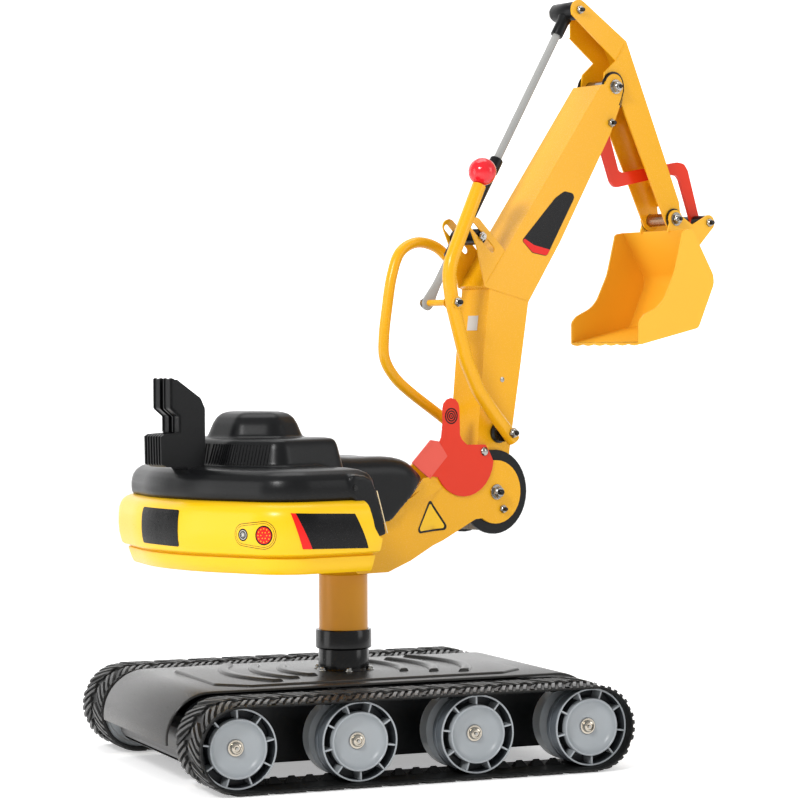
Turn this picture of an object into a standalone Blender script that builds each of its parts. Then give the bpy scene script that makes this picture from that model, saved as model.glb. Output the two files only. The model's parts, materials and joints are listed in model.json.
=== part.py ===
"""Ride-on toy digger: a child sits astride the saddle of a turning upper deck that stands on
a tracked undercarriage, lifts the boom with the loop handle and works stick and bucket with
the long lever.  Metres, +Z up, the tracks run along X, origin on the floor in the middle of the whole
digger.  Lengths below are taken from the column.
The upper deck is shown turned a little to the left of the tracks."""

import math

import bpy
import bmesh
from mathutils import Vector

# ---------------------------------------------------------------- driving dimensions (mm)
MM = 0.001
TURRET_TURN = 15.8            # degrees the deck is turned to the left
COLUMN_X = -148.84            # the column stands this far from the middle of the whole length

TRACK_OUT, TRACK_IN = 215.0, 137.0    # outer and inner side of each belt, from the middle
WHEEL_Z = 47.5                # axle height, and half the height of a track
WHEEL_R = 41.9
WHEEL_X = (-194.0, -60.5, 73.1, 206.6)
BELT_IN, BELT_OUT = 42.4, 47.5

TUBE_R = 27.2                 # column
DECK_BOTTOM, DECK_TOP = 222.0, 297.0

BOOM_HALF, SHEET = 25.0, 2.0  # half width over the boom's cheeks, sheet thickness
STICK_HALF = 20.6
FORK_IN, FORK_OUT = 29.2, 32.2

A = (197.0, 291.0)            # boom pivot in the deck's plane: forward, up
E = (392.0, 768.0)            # elbow
K = (384.5, 724.5)            # link bolt at the boom's tip
S = (339.0, 856.0)            # top of the stick, where the rod pulls
Q = (491.0, 613.0)            # bucket pivot
B = (547.0, 610.0)            # rear bolt of the bucket
L0 = (205.0, 359.0)           # lever pivot
P = (123.0, 508.0)            # rod pin on the lever
T = (183.0, 584.5)            # trunnion of the rod guide
LEVER_Y, HANDLE_Y = -45.0, 42.0

# ---------------------------------------------------------------- scene
for old in list(bpy.data.objects):
    bpy.data.objects.remove(old, do_unlink=True)

PARTS = bpy.data.collections.new("ride_on_digger")
CUTTERS = bpy.data.collections.new("cutters")
for c in (PARTS, CUTTERS):
    bpy.context.scene.collection.children.link(c)


def material(name, colour, rough, metal=0.0):
    m = bpy.data.materials.new(name)
    m.use_nodes = True
    s = m.node_tree.nodes["Principled BSDF"]
    s.inputs["Base Color"].default_value = (*colour, 1.0)
    s.inputs["Roughness"].default_value = rough
    s.inputs["Metallic"].default_value = metal
    return m


COLOURS = {
    "yellow_paint": ((0.85, 0.47, 0.03), 0.38, 0.0),
    "yellow_plastic": ((0.88, 0.56, 0.01), 0.34, 0.0),
    "bucket_plastic": ((0.86, 0.42, 0.02), 0.45, 0.0),
    "black_plastic": ((0.012, 0.013, 0.015), 0.36, 0.0),
    "black_rubber": ((0.016, 0.016, 0.017), 0.62, 0.0),
    "black_enamel": ((0.02, 0.02, 0.022), 0.2, 0.0),
    "grey_plastic": ((0.33, 0.35, 0.37), 0.42, 0.0),
    "red_paint": ((0.68, 0.035, 0.01), 0.4, 0.0),
    "red_plastic": ((0.65, 0.01, 0.02), 0.3, 0.0),
    "zinc_steel": ((0.6, 0.6, 0.58), 0.3, 1.0),
    "brushed_steel": ((0.5, 0.5, 0.5), 0.4, 1.0),
    "grey_rod": ((0.5, 0.5, 0.49), 0.5, 0.0),
}

# joint frames: deck coordinates (forward, left, up) in mm
FRAMES = {"root": (None, (0, 0, 0)), "turret": ("root", (0, 0, 0)),
          "boom": ("turret", (A[0], 0, A[1])), "stick": ("boom", (E[0], 0, E[1])),
          "bucket": ("stick", (Q[0], 0, Q[1])), "z_link": ("bucket", (B[0], 0, B[1])),
          "lever": ("boom", (L0[0], 0, L0[1])), "rod": ("lever", (P[0], 0, P[1])),
          "rod_guide": ("rod", (T[0], 0, T[1]))}
for side, sy in (("right", -1), ("left", 1)):
    for i, x in enumerate(WHEEL_X):
        FRAMES["wheel_%s_%d" % (side, i + 1)] = ("root", (x, sy * 170.0, WHEEL_Z))
EMPTY, ORIGIN = {}, {}
for key, (parent, pos) in FRAMES.items():
    e = bpy.data.objects.new("frame_" + key, None)
    PARTS.objects.link(e)
    ORIGIN[key] = Vector(pos) * MM
    if parent:
        e.parent = EMPTY[parent]
        e.location = ORIGIN[key] - ORIGIN[parent]
    if key == "root":
        e.location = (COLUMN_X * MM, 0, 0)
    if key == "turret":
        e.rotation_euler = (0, 0, math.radians(TURRET_TURN))
    EMPTY[key] = e


def add(name, data, body, mat, loc=(0, 0, 0), rot=(0, 0, 0), cutter=False):
    obj = bpy.data.objects.new(name, data)
    (CUTTERS if cutter else PARTS).objects.link(obj)
    obj.parent = EMPTY[body]
    obj.location = Vector(loc) * MM - ORIGIN[body]
    obj.rotation_euler = rot
    if cutter:
        obj.hide_render = True
        obj.display_type = "WIRE"
    elif mat:
        m = bpy.data.materials.get(name) or material(name, *COLOURS[mat])
        obj.data.materials.append(m)
    return obj


def solidify_normals(me):
    bm = bmesh.new()
    bm.from_mesh(me)
    bmesh.ops.remove_doubles(bm, verts=bm.verts, dist=1e-7)
    bmesh.ops.recalc_face_normals(bm, faces=bm.faces)
    bm.to_mesh(me)
    bm.free()


def smooth(obj, angle=35):
    obj.data.shade_smooth()
    obj.data.set_sharp_from_angle(angle=math.radians(angle))
    return obj


def boolean(obj, other, op="DIFFERENCE"):
    m = obj.modifiers.new(op.lower(), "BOOLEAN")
    m.operation = op
    m.object = other
    return obj


# ---------------------------------------------------------------- outline helpers
def arc(c, r, a0, a1, n):
    return [(c[0] + r * math.cos(math.radians(a0 + (a1 - a0) * i / n)),
             c[1] + r * math.sin(math.radians(a0 + (a1 - a0) * i / n))) for i in range(n + 1)]


def circle(c, r, n=20):
    return arc(c, r, 0, 360, n)[:-1]


def fillet(poly, radii, n=4):
    """Round the corners of a closed outline; radii is one number or one per corner."""
    out, m = [], len(poly)
    for i in range(m):
        r = radii if isinstance(radii, (int, float)) else radii[i]
        p0, p1, p2 = Vector(poly[i - 1]), Vector(poly[i]), Vector(poly[(i + 1) % m])
        u, v = (p0 - p1).normalized(), (p2 - p1).normalized()
        half = math.acos(max(-1, min(1, u.dot(v)))) / 2
        if r <= 0 or half > math.radians(88):
            out.append(tuple(p1))
            continue
        t = min(r / math.tan(half), 0.48 * (p0 - p1).length, 0.48 * (p2 - p1).length)
        r = t * math.tan(half)
        centre = p1 + (u + v).normalized() * (r / math.sin(half))
        a0 = math.atan2(*(reversed((p1 + u * t - centre)[:])))
        a1 = math.atan2(*(reversed((p1 + v * t - centre)[:])))
        d = (a1 - a0 + math.pi) % (2 * math.pi) - math.pi
        out += [(centre[0] + r * math.cos(a0 + d * k / n), centre[1] + r * math.sin(a0 + d * k / n))
                for k in range(n + 1)]
    return out


def area(poly):
    return sum(poly[i - 1][0] * poly[i][1] - poly[i][0] * poly[i - 1][1] for i in range(len(poly))) / 2


def offset(poly, d):
    """Move every edge of a closed outline outwards by d."""
    s = 1 if area(poly) > 0 else -1
    out, m = [], len(poly)
    for i in range(m):
        p0, p1, p2 = Vector(poly[i - 1]), Vector(poly[i]), Vector(poly[(i + 1) % m])
        e1, e2 = (p1 - p0).normalized(), (p2 - p1).normalized()
        n1, n2 = Vector((e1[1], -e1[0])) * s, Vector((e2[1], -e2[0])) * s
        b = n1 + n2
        out.append(tuple(p1 + b * (d / (b.dot(n1)))))
    return out


def bend(points, r, n=4):
    """An open path in space with its inner corners rounded to radius r."""
    out = [Vector(points[0])]
    for i in range(1, len(points) - 1):
        p0, p1, p2 = (Vector(points[k]) for k in (i - 1, i, i + 1))
        u, v = (p0 - p1).normalized(), (p2 - p1).normalized()
        half = math.acos(max(-1, min(1, u.dot(v)))) / 2
        if half > math.radians(87.5):
            out.append(p1)
            continue
        t = min(r / math.tan(half), 0.49 * (p0 - p1).length, 0.49 * (p2 - p1).length)
        for k in range(n + 1):
            f = k / n
            out.append((p1 + u * t) * (1 - f) ** 2 + p1 * 2 * f * (1 - f) + (p1 + v * t) * f ** 2)
    out.append(Vector(points[-1]))
    return out


# ---------------------------------------------------------------- shape helpers
def plate(name, body, mat, outline, y0, y1, holes=(), cutter=False):
    """A flat outline in the forward-up plane, between two distances to the left."""
    cu = bpy.data.curves.new(name, "CURVE")
    cu.dimensions = "2D"
    cu.fill_mode = "BOTH"
    cu.extrude = abs(y1 - y0) / 2 * MM
    for loop in [outline, *holes]:
        sp = cu.splines.new("POLY")
        sp.points.add(len(loop) - 1)
        for p, q in zip(sp.points, loop):
            p.co = (q[0] * MM, q[1] * MM, 0, 1)
        sp.use_cyclic_u = True
    return add(name, cu, body, mat, (0, (y0 + y1) / 2, 0), (math.pi / 2, 0, 0), cutter)


def level_plate(name, body, mat, outline, z0, z1, holes=(), cutter=False):
    obj = plate(name, body, mat, outline, z0, z1, holes, cutter)
    obj.rotation_euler = (0, 0, 0)
    obj.location = Vector((0, 0, (z0 + z1) / 2)) * MM - ORIGIN[body]
    return obj


def to_mesh(obj):
    """The same object as a mesh with welded caps, so it can be cut."""
    bpy.context.view_layer.update()
    deps = bpy.context.evaluated_depsgraph_get()
    me = bpy.data.meshes.new_from_object(obj.evaluated_get(deps))
    solidify_normals(me)
    name, parent, mats = obj.name, obj.parent, [m for m in obj.data.materials]
    loc, rot, wire = obj.location.copy(), obj.rotation_euler.copy(), obj.hide_render
    coll = obj.users_collection[0]
    bpy.data.objects.remove(obj, do_unlink=True)
    new = bpy.data.objects.new(name, me)
    coll.objects.link(new)
    new.parent, new.location, new.rotation_euler = parent, loc, rot
    new.hide_render = wire
    if wire:
        new.display_type = "WIRE"
    if not me.materials:
        for m in mats:
            me.materials.append(m)
    return new


def box(name, body, mat, x, y, z, bevel=0.0, cutter=False):
    me = bpy.data.meshes.new(name)
    bm = bmesh.new()
    bmesh.ops.create_cube(bm, size=1.0)
    size = [abs(b - a) * MM for a, b in (x, y, z)]
    bmesh.ops.scale(bm, vec=size, verts=bm.verts)
    bm.to_mesh(me)
    bm.free()
    obj = add(name, me, body, mat, [(a + b) / 2 for a, b in (x, y, z)], cutter=cutter)
    if bevel:
        m = obj.modifiers.new("bevel", "BEVEL")
        m.width, m.segments = bevel * MM, 2
    return obj


def rod_between(name, body, mat, p, q, r, seg=20, cutter=False):
    """A solid cylinder from p to q."""
    p, q = Vector(p), Vector(q)
    me = bpy.data.meshes.new(name)
    bm = bmesh.new()
    bmesh.ops.create_cone(bm, cap_ends=True, segments=seg, radius1=r * MM, radius2=r * MM,
                          depth=(q - p).length * MM)
    bm.to_mesh(me)
    bm.free()
    rot = (q - p).to_track_quat("Z", "Y").to_euler()
    return add(name, me, body, mat, (p + q) / 2, rot, cutter)


def turned(name, body, mat, at, profile, steps=20, hollow=False, axis="Y", cutter=False):
    """A profile of (radius, distance along the axis), from the far end to the near end."""
    me = bpy.data.meshes.new(name)
    bm = bmesh.new()
    vs = [bm.verts.new((r * MM, 0, h * MM)) for r, h in profile]
    for a, b in zip(vs, vs[1:] + (vs[:1] if hollow else [])):
        bm.edges.new((a, b))
    bm.to_mesh(me)
    bm.free()
    rot = (-math.pi / 2, 0, 0) if axis == "Y" else (0, 0, 0)
    obj = add(name, me, body, mat, at, rot, cutter)
    m = obj.modifiers.new("screw", "SCREW")
    m.steps = m.render_steps = steps
    m.use_merge_vertices = True
    m.merge_threshold = 0.00001
    return obj


def pin(name, body, mat, at, lo, hi, r, head_lo=(0, 0), head_hi=(0, 0), steps=16):
    """A bolt across the machine: shank from lo to hi, heads (radius, thickness) outside."""
    prof = [(0, hi + head_hi[1])]
    if head_hi[1]:
        prof += [(head_hi[0], hi + head_hi[1]), (head_hi[0], hi)]
    prof += [(r, hi), (r, lo)] if head_hi[1] or head_lo[1] else [(r, hi), (r, lo)]
    if head_lo[1]:
        prof += [(head_lo[0], lo), (head_lo[0], lo - head_lo[1])]
    prof += [(0, lo - head_lo[1])]
    return turned(name, body, mat, (at[0], 0, at[1]), prof, steps)


def ring(name, body, mat, at, r_out, r_in, lo, hi, steps=20):
    return turned(name, body, mat, (at[0], 0, at[1]),
                  [(r_out, hi), (r_out, lo), (r_in, lo), (r_in, hi)], steps, hollow=True)


def tube(name, body, mat, points, r, res=2):
    cu = bpy.data.curves.new(name, "CURVE")
    cu.dimensions = "3D"
    cu.bevel_depth = r * MM
    cu.bevel_resolution = res
    cu.use_fill_caps = True
    sp = cu.splines.new("POLY")
    sp.points.add(len(points) - 1)
    for p, q in zip(sp.points, points):
        p.co = (q[0] * MM, q[1] * MM, q[2] * MM, 1)
    return add(name, cu, body, mat)


def loft(name, body, mat, rings, cutter=False):
    """Level outlines joined one above the other, closed at both ends."""
    me = bpy.data.meshes.new(name)
    bm = bmesh.new()
    rows = [[bm.verts.new((x * MM, y * MM, z * MM)) for x, y in pts] for pts, z in rings]
    for lo, hi in zip(rows, rows[1:]):
        for i in range(len(lo)):
            j = (i + 1) % len(lo)
            bm.faces.new((lo[i], lo[j], hi[j], hi[i]))
    bm.faces.new(list(reversed(rows[0])))
    bm.faces.new(rows[-1])
    bmesh.ops.recalc_face_normals(bm, faces=bm.faces)
    if bm.calc_volume(signed=True) < 0:
        bmesh.ops.reverse_faces(bm, faces=bm.faces)
    bm.to_mesh(me)
    bm.free()
    return add(name, me, body, mat, cutter=cutter)


def mirror_x(half):
    """A plan outline from its left half, front to rear."""
    return half + [(x, -y) for x, y in reversed(half)]


# ================================================================ undercarriage
def stadium(x0, x1, z, r, n=8):
    return arc((x1, z), r, -90, 90, n) + arc((x0, z), r, 90, 270, n)


X0, X1 = WHEEL_X[0], WHEEL_X[-1]
for side, s in (("right", -1), ("left", 1)):
    lo, hi = sorted((s * TRACK_IN, s * TRACK_OUT))
    plate("track_belt_" + side, "root", "black_rubber", stadium(X0, X1, WHEEL_Z, BELT_OUT, 12), lo, hi,
          holes=[stadium(X0, X1, WHEEL_Z, BELT_IN, 12)])

# cover: a bent shell over the frame, down to axle height at both nose ends
cover = arc((X1 + 1, WHEEL_Z), 49.5, -2, 90, 7) + arc((X0 - 1, WHEEL_Z), 49.5, 90, 182, 7)
cover += arc((X0 - 1, WHEEL_Z), 46.7, 182, 90, 7) + arc((X1 + 1, WHEEL_Z), 46.7, 90, -2, 7)
chassis = to_mesh(plate("chassis_cover", "root", "black_enamel", cover, -115, 115))
boolean(chassis, rod_between("cut_cover_post", "root", None, (0, 0, 60), (0, 0, 130), 21.5, 24, cutter=True))

frame = to_mesh(plate("chassis_frame", "root", "black_plastic",
                      fillet([(-226, 17), (238, 17), (238, 92), (-226, 92)], [18, 18, 34, 34], 4), -112, 112))
boolean(frame, box("cut_frame_inside", "root", None, (-222, 234), (-109, 109), (20, 140), cutter=True))
for i, x in enumerate(WHEEL_X):
    boolean(frame, rod_between("cut_axle_%d" % (i + 1), "root", None, (x, -140, WHEEL_Z), (x, 140, WHEEL_Z), 5.4, 16,
                               cutter=True))
    pin("axle_%d" % (i + 1), "root", "zinc_steel", (x, WHEEL_Z), -186.0, 186.0, 5.0, (7.5, 3.5), (7.5, 3.5), 12)

# wheels: a spool with two drums and a V groove for the belt's teeth, dished on its outside
for side, s in (("right", -1), ("left", 1)):
    for i, x in enumerate(WHEEL_X):
        prof = [(WHEEL_R, 201), (WHEEL_R, 178), (33, 170), (WHEEL_R, 162), (WHEEL_R, 143), (5.5, 143), (5.5, 184.5),
                (30, 184.5), (33.5, 201)]
        pts = [(r, s * h) for r, h in prof]
        if s < 0:
            pts = list(reversed(pts))
        w = turned("wheel_%s_%d" % (side, i + 1), "wheel_%s_%d" % (side, i + 1), "grey_plastic",
                   (x, 0, WHEEL_Z), pts, 18, hollow=True)

# the column's bearing on the frame, its collar ring, the fixed post and the turning tube
post = [(0, 268), (14, 268), (14, 118), (21, 118), (21, 26), (44, 26), (44, 20.4), (0, 20.4)]
turned("post", "root", "zinc_steel", (0, 0, 0), post, 24, axis="Z")
turned("collar_sleeve", "root", "black_plastic", (0, 0, 0),
       [(28.0, 123.2), (28.0, 97.4), (21.6, 97.4), (21.6, 123.2)], 28, hollow=True, axis="Z")
turned("collar_ring", "root", "black_plastic", (0, 0, 0),
       [(31.2, 144.4), (31.2, 123.6), (14.6, 123.6), (14.6, 141),
        (27.6, 141), (27.6, 144.4)], 28, hollow=True, axis="Z")
# ================================================================ deck
turned("column_tube", "turret", "yellow_paint", (0, 0, 0),
       [(TUBE_R, 210.6), (TUBE_R, 141.5), (24.5, 141.5), (24.5, 210.6)], 32, hollow=True, axis="Z")
PLAN = mirror_x([(-80, 156), (-186, 147), (-222, 40)])
PLAN_R = [3, 45, 200, 200, 45, 3]


def plan(d, extra=0):
    return fillet(offset(PLAN, d), [max(2, r + d) for r in PLAN_R], 4)


shell = loft("turret_shell", "turret", "yellow_plastic",
             [(plan(0), DECK_BOTTOM), (plan(8), 238), (plan(15), 243), (plan(18.5), 262), (plan(18), 284),
              (plan(5), DECK_TOP), (plan(1.5), DECK_TOP), (plan(15), 283), (plan(15), 262), (plan(4.5), 240),
              (plan(-2), 225)])
boolean(shell, box("cut_fork_notch", "turret", None, (-140, 0), (-48, 48), (200, 320), cutter=True))
boolean(shell, box("cut_shell_front", "turret", None, (-98, 0), (-157.5, 157.5), (243.2, 320), cutter=True))
boolean(shell, box("cut_shell_corners", "turret", None, (-92, 0), (-200, 200), (254.5, 320), cutter=True))

TIER2 = mirror_x([(-56, 82), (-150, 92), (-182, 36)])
TIER3 = mirror_x([(-84, 46), (-128, 58), (-165, 26)])


def lip(d):
    return fillet(offset(PLAN, d), [max(2, r + d) for r in PLAN_R], 4)


def tier(poly, d, radii):
    return fillet(offset(poly, d), [max(2, r + d) for r in radii], 3)


R2, R3 = [14, 24, 40, 40, 24, 14], [16, 26, 22, 22, 26, 16]
seat = loft("seat_shell", "turret", "black_plastic",
            [(lip(2.5), 297.4), (lip(4), 304), (lip(3), 317), (lip(-3), 325), (lip(-10), 329), (lip(-20), 330)])
tier2 = loft("add_tier_2", "turret", None, [(tier(TIER2, 0, R2), 320), (tier(TIER2, 0, R2), 331),
                                            (tier(TIER2, -6, R2), 353), (tier(TIER2, -9, R2), 358),
                                            (tier(TIER2, -16, R2), 360)], cutter=True)
tier3 = loft("add_tier_3", "turret", None, [(tier(TIER3, 0, R3), 350), (tier(TIER3, -1, R3), 361),
                                            (tier(TIER3, -6, R3), 379), (tier(TIER3, -14, R3), 386)], cutter=True)
saddle = to_mesh(plate("add_saddle", "turret", None, fillet(
    [(-80, 262), (44, 262), (80, 303), (81, 324), (52, 334), (0, 337.5), (-64, 343), (-80, 343)],
    [0, 10, 8, 10, 40, 60, 10, 0], 4), -50, 50, cutter=True))
saddle_in = to_mesh(plate("cut_saddle", "turret", None, fillet(
    [(-120, 200), (30, 200), (40, 262), (76, 303), (77, 321), (50, 330), (0, 333.5), (-64, 326), (-120, 326)],
    [0, 0, 0, 5, 6, 20, 20, 5, 0], 3), -46.5, 46.5, cutter=True))
boolean(seat, tier2, "UNION")
boolean(seat, tier3, "UNION")
boolean(seat, saddle, "UNION")
for side, s in (("right", -1), ("left", 1)):
    leg = box("add_leg_" + side, "turret", None, (-86, -62), sorted((s * 132, s * 157)), (256, 318), 4, cutter=True)
    boolean(seat, leg, "UNION")
hollow2 = loft("cut_deck", "turret", None, [(lip(-1.5), 290), (lip(-1), 304), (lip(-2), 316), (lip(-12), 325),
                                            (lip(-24), 326)], cutter=True)
hollow3 = loft("cut_tier_2", "turret", None, [(tier(TIER2, -4, R2), 310), (tier(TIER2, -4, R2), 331),
                                              (tier(TIER2, -10, R2), 354), (tier(TIER2, -18, R2), 356)], cutter=True)
boolean(seat, hollow2)
boolean(seat, hollow3)
boolean(seat, saddle_in)
boolean(seat, box("cut_saddle_front", "turret", None, (20, 95), (-46.5, 46.5), (240, 301), cutter=True))

bracket = to_mesh(plate("rear_bracket", "turret", "black_plastic", fillet(
    [(-237, 424), (-231, 424), (-200, 403), (-194, 392), (-194, 352), (-212, 331), (-247, 331), (-250, 366),
     (-227, 367), (-227, 386), (-238, 395)], [3, 3, 5, 8, 6, 5, 5, 3, 3, 4, 4], 3), -16, 16))

# ---------------------------------------------------------------- boom fork
fork_plan = [(240, 32.2), (103, 32.2), (62, 43.5), (-112, 43.5), (-112, -43.5), (62, -43.5), (103, -32.2), (240, -32.2),
             (240, -29.2), (102.6, -29.2), (61.6, -40.5), (-109, -40.5), (-109, 40.5), (61.6, 40.5), (102.6, 29.2),
             (240, 29.2)]
fork = to_mesh(level_plate("boom_fork", "turret", "yellow_paint", fork_plan, 195, 360))
side_view = [(-130, 232), (-40, 232), (-12, 208), (30, 208), (118, 239), (155, 256), (166, 261), (176, 261.5)]
side_view += arc(A, 36.5, 236, 450, 20)
side_view += [(187, 327.5), (185, 345), (152, 345), (146, 340), (100, 306), (60, 288), (-130, 288)]
boolean(fork, to_mesh(plate("keep_fork_side", "turret", None, side_view, -80, 80, cutter=True)), "INTERSECT")
floor_of_fork = to_mesh(level_plate("add_fork_floor", "turret", None, [(-20, -42), (28, -42), (28, 42), (-20, 42)], 211, 214.5,
                            cutter=True))
boolean(fork, floor_of_fork, "UNION")
rear_floor = box("add_fork_rear_floor", "turret", None, (-111, -30), (-42, 42), (233, 236.5), cutter=True)
boolean(fork, rear_floor, "UNION")
slope = to_mesh(plate("add_fork_slope", "turret", None, [(-34, 233), (-34, 236.5), (-31, 236.5), (-15, 214.5), (-15, 211.2), (-19, 211.2)],
              -42, 42, cutter=True))
boolean(fork, slope, "UNION")
boolean(fork, rod_between("cut_fork_post", "turret", None, (0, 0, 200), (0, 0, 300), 24.6, 32, cutter=True))
boolean(fork, rod_between("cut_fork_pivot", "turret", None, (A[0], -60, A[1]), (A[0], 60, A[1]), 5.4, 16, cutter=True))
STOP = (206.5, 271.0)
boolean(fork, rod_between("cut_fork_stop", "turret", None, (STOP[0], -60, STOP[1]), (STOP[0], 60, STOP[1]), 3.4, 12,
                          cutter=True))
GB = (177.5, 338.0)
boolean(fork, rod_between("cut_fork_guard", "turret", None, (GB[0], -60, GB[1]), (GB[0], 60, GB[1]), 3.4, 12, cutter=True))

# ---------------------------------------------------------------- guard
guard_out = arc((148, 331), 43.5, -152, -6, 12) + [(185, 338), (179.5, 346), (152, 346.5), (145, 352), (141.5, 358),
                                                 (141, 388)] + arc((129, 388), 12, 0, 180, 6) + \
    [(117, 372), (115, 356), (112, 350), (121, 337), (97, 312.5)]
guard = to_mesh(plate("guard", "turret", "red_paint", guard_out, -34.2, -32.5, holes=[circle(GB, 3.4, 12)]))
fold = [(120.5, 336.5), (94.5, 312.0)]
flap_me = bpy.data.meshes.new("add_guard_flap")
bm = bmesh.new()
fv = []
for dy in (0.0, 1.6):
    fv += [bm.verts.new((x * MM, y * MM, z * MM)) for x, y, z in (
        (fold[0][0] + 3, -34.15 + dy, fold[0][1] - 3), (fold[1][0] + 3, -34.15 + dy, fold[1][1] - 3),
        (78.3, -26.5 + dy, 327.5), (105.1, -26.5 + dy, 352.5))]
for f in ((0, 1, 2, 3), (7, 6, 5, 4), (0, 4, 5, 1), (1, 5, 6, 2), (2, 6, 7, 3), (3, 7, 4, 0)):
    bm.faces.new([fv[k] for k in f])
bmesh.ops.recalc_face_normals(bm, faces=bm.faces)
bm.to_mesh(flap_me)
bm.free()
flap = add("add_guard_flap", flap_me, "turret", None, cutter=True)
boolean(guard, flap, "UNION")
turned("guard_bolt", "turret", "zinc_steel", (GB[0], 0, GB[1]),
       [(0, -29.3), (3, -29.3), (3, -34.5), (5.4, -34.5), (4.4, -36.0), (0, -36.4)], 12)

# ---------------------------------------------------------------- boom pivot
disc = [p for p in arc(A, 48.5, -118, 232, 36)]
for side, s in (("right", -1), ("left", 1)):
    lo, hi = sorted((s * 25.5, s * 28.9))
    plate("pivot_disc_" + side, "turret", "black_plastic", disc, lo, hi, holes=[circle(A, 5.4, 16), circle(STOP, 3.4, 12)])
pin("pivot_bolt", "turret", "zinc_steel", A, -32.5, 32.5, 5.0, (8.8, 4.5), (8.8, 4.5), 16)
for side, s in (("right", -1), ("left", 1)):
    prof = [(0, -25.7), (3, -25.7), (3, -32.5), (5.4, -32.5), (4.4, -35), (0, -35.8)]
    prof = prof if s < 0 else list(reversed([(r, -h) for r, h in prof]))
    turned("stop_bolt_" + side, "turret", "zinc_steel", (STOP[0], 0, STOP[1]), prof, 10)
ring("pivot_bush", "turret", "brushed_steel", A, 8.5, 5.4, -22.6, 22.6, 16)
box("stop_buffer", "turret", "grey_plastic", (180, 196), (-25.2, 25.2), (247, 258), 2)

# ================================================================ boom
EAR = 16.5
cheek = [(176, 262)] + arc(A, 23, 235, 330, 6) + [(220.5, 300), (223, 338), (241, 439), (253, 509.5), (303, 581),
                                                   (384, 712), (391, 727)]
cheek += arc(E, EAR, -32, 172, 12) + [(369.5, 769.4), (188, 528), (194.5, 524.5), (185, 449), (169.5, 291)]
inner = [(160, 240), (230, 240), (218.5, 300), (221, 338.3), (239, 439.3), (251, 510), (301.3, 582), (374.5, 701.5),
         (400, 690), (425, 770), (420, 800), (374, 800), (371.6, 768.5), (190.4, 529), (196.6, 525), (187, 448.8), (178, 360), (174, 300)]
boom = to_mesh(plate("boom", "boom", "yellow_paint", cheek, -BOOM_HALF, BOOM_HALF))
boolean(boom, to_mesh(plate("cut_boom_inside", "boom", None, inner, -BOOM_HALF + SHEET, BOOM_HALF - SHEET, cutter=True)))
BRACKET = fillet([(200.5, 523), (219, 568), (175, 609), (163, 600), (176, 572), (188, 527)], [0, 6, 10, 8, 10, 0], 4)
for side, s in (("right", -1), ("left", 1)):
    lo, hi = sorted((s * (BOOM_HALF - SHEET), s * BOOM_HALF))
    b = to_mesh(plate("add_bracket_" + side, "boom", None, BRACKET, lo, hi, cutter=True))
    boolean(boom, b, "UNION")
U = Vector((201.5 - 168.0, 569.5 - 601.5)).normalized()      # the slot's direction
S0, S1 = Vector((170.5, 596.1)), Vector((198.4, 570.2))
ang = math.degrees(math.atan2(U[1], U[0]))
slot = arc(S1, 3.9, ang - 90, ang + 90, 6) + arc(S0, 3.9, ang + 90, ang + 270, 6)
boolean(boom, to_mesh(plate("cut_slots", "boom", None, slot, -40, 40, cutter=True)))
for nm, c, r in (("pivot", A, 9.0), ("elbow", E, 4.9), ("link", K, 3.4), ("lever", L0, 4.4)):
    boolean(boom, rod_between("cut_boom_" + nm, "boom", None, (c[0], -60, c[1]), (c[0], 60, c[1]), r, 16, cutter=True))
pin("elbow_bolt", "boom", "zinc_steel", E, -25.4, 25.4, 4.5, (8.6, 5.0), (8.6, 5.0), 16)
pin("link_bolt", "boom", "zinc_steel", K, -25.4, 25.4, 3.0, (5.4, 4.0), (5.4, 4.0), 12)
ear_plate = [p for p in arc(E, 18.4, -32, 172, 14)] + [(373.5, 762), (388, 738), (403, 744)]
for side, s in (("right", -1), ("left", 1)):
    lo, hi = sorted((s * 21.1, s * 22.6))
    plate("elbow_spacer_" + side, "boom", "black_plastic", ear_plate, lo, hi, holes=[circle(E, 4.9, 16)])

# loop handle on the left cheek
hp = [(206, 25.4, 359), (206, 35, 359), (200, 42, 362), (170, 42, 381), (130, 42, 406), (107, 42, 424), (93, 42, 445), (92, 42, 470),
      (97, 42, 505), (104, 42, 540), (116, 42, 567), (140, 42, 579), (168, 42, 575), (190, 42, 560), (210, 40, 542),
      (214, 34, 538), (214, 25.4, 538)]
tube("loop_handle", "boom", "yellow_paint", bend(hp, 16, 2), 6.3, 1)
# ================================================================ lever, rod and guide
lp = [(162.6, LEVER_Y, 641.4), (116, LEVER_Y, 545), (122.5, LEVER_Y, 506), (142, LEVER_Y, 443), (160, LEVER_Y, 408),
      (184, LEVER_Y, 380), (211, LEVER_Y, 351.5)]
lever = to_mesh(tube("lever", "lever", "yellow_paint", bend(lp, 60, 4), 8.0, 3))
for nm, c, r in (("pivot", L0, 4.4), ("pin", P, 4.2)):
    boolean(lever, rod_between("cut_lever_" + nm, "lever", None, (c[0], -70, c[1]), (c[0], -20, c[1]), r, 14, cutter=True))
knob = turned("lever_knob", "lever", "red_plastic", (167.5, LEVER_Y, 657.0),
              [(16.0 * math.sin(math.radians(t)) + (0 if 0 < t < 180 else 0), 16.0 * math.cos(math.radians(t)))
               for t in range(0, 181, 18)], 20, axis="Z")
knob.data.vertices[0].co.x = 0
knob.data.vertices[-1].co.x = 0
ring("lever_spacer", "lever", "black_plastic", L0, 12.0, 4.4, -36.6, -25.4, 18)
turned("lever_bolt", "lever", "zinc_steel", (L0[0], 0, L0[1]),
       [(0, -17.6), (6.5, -17.6), (6.5, -22.6), (4, -22.6), (4, -53.5), (6.5, -53.5), (6.5, -58), (0, -60)], 14)
turned("rod_pin", "lever", "yellow_paint", (P[0], 0, P[1]),
       [(0, 10.5), (6.5, 10.5), (6.5, 5.3), (3.8, 5.3), (3.8, -53.6), (6.5, -53.6), (6.5, -57.5), (0, -59.5)], 14)

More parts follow.
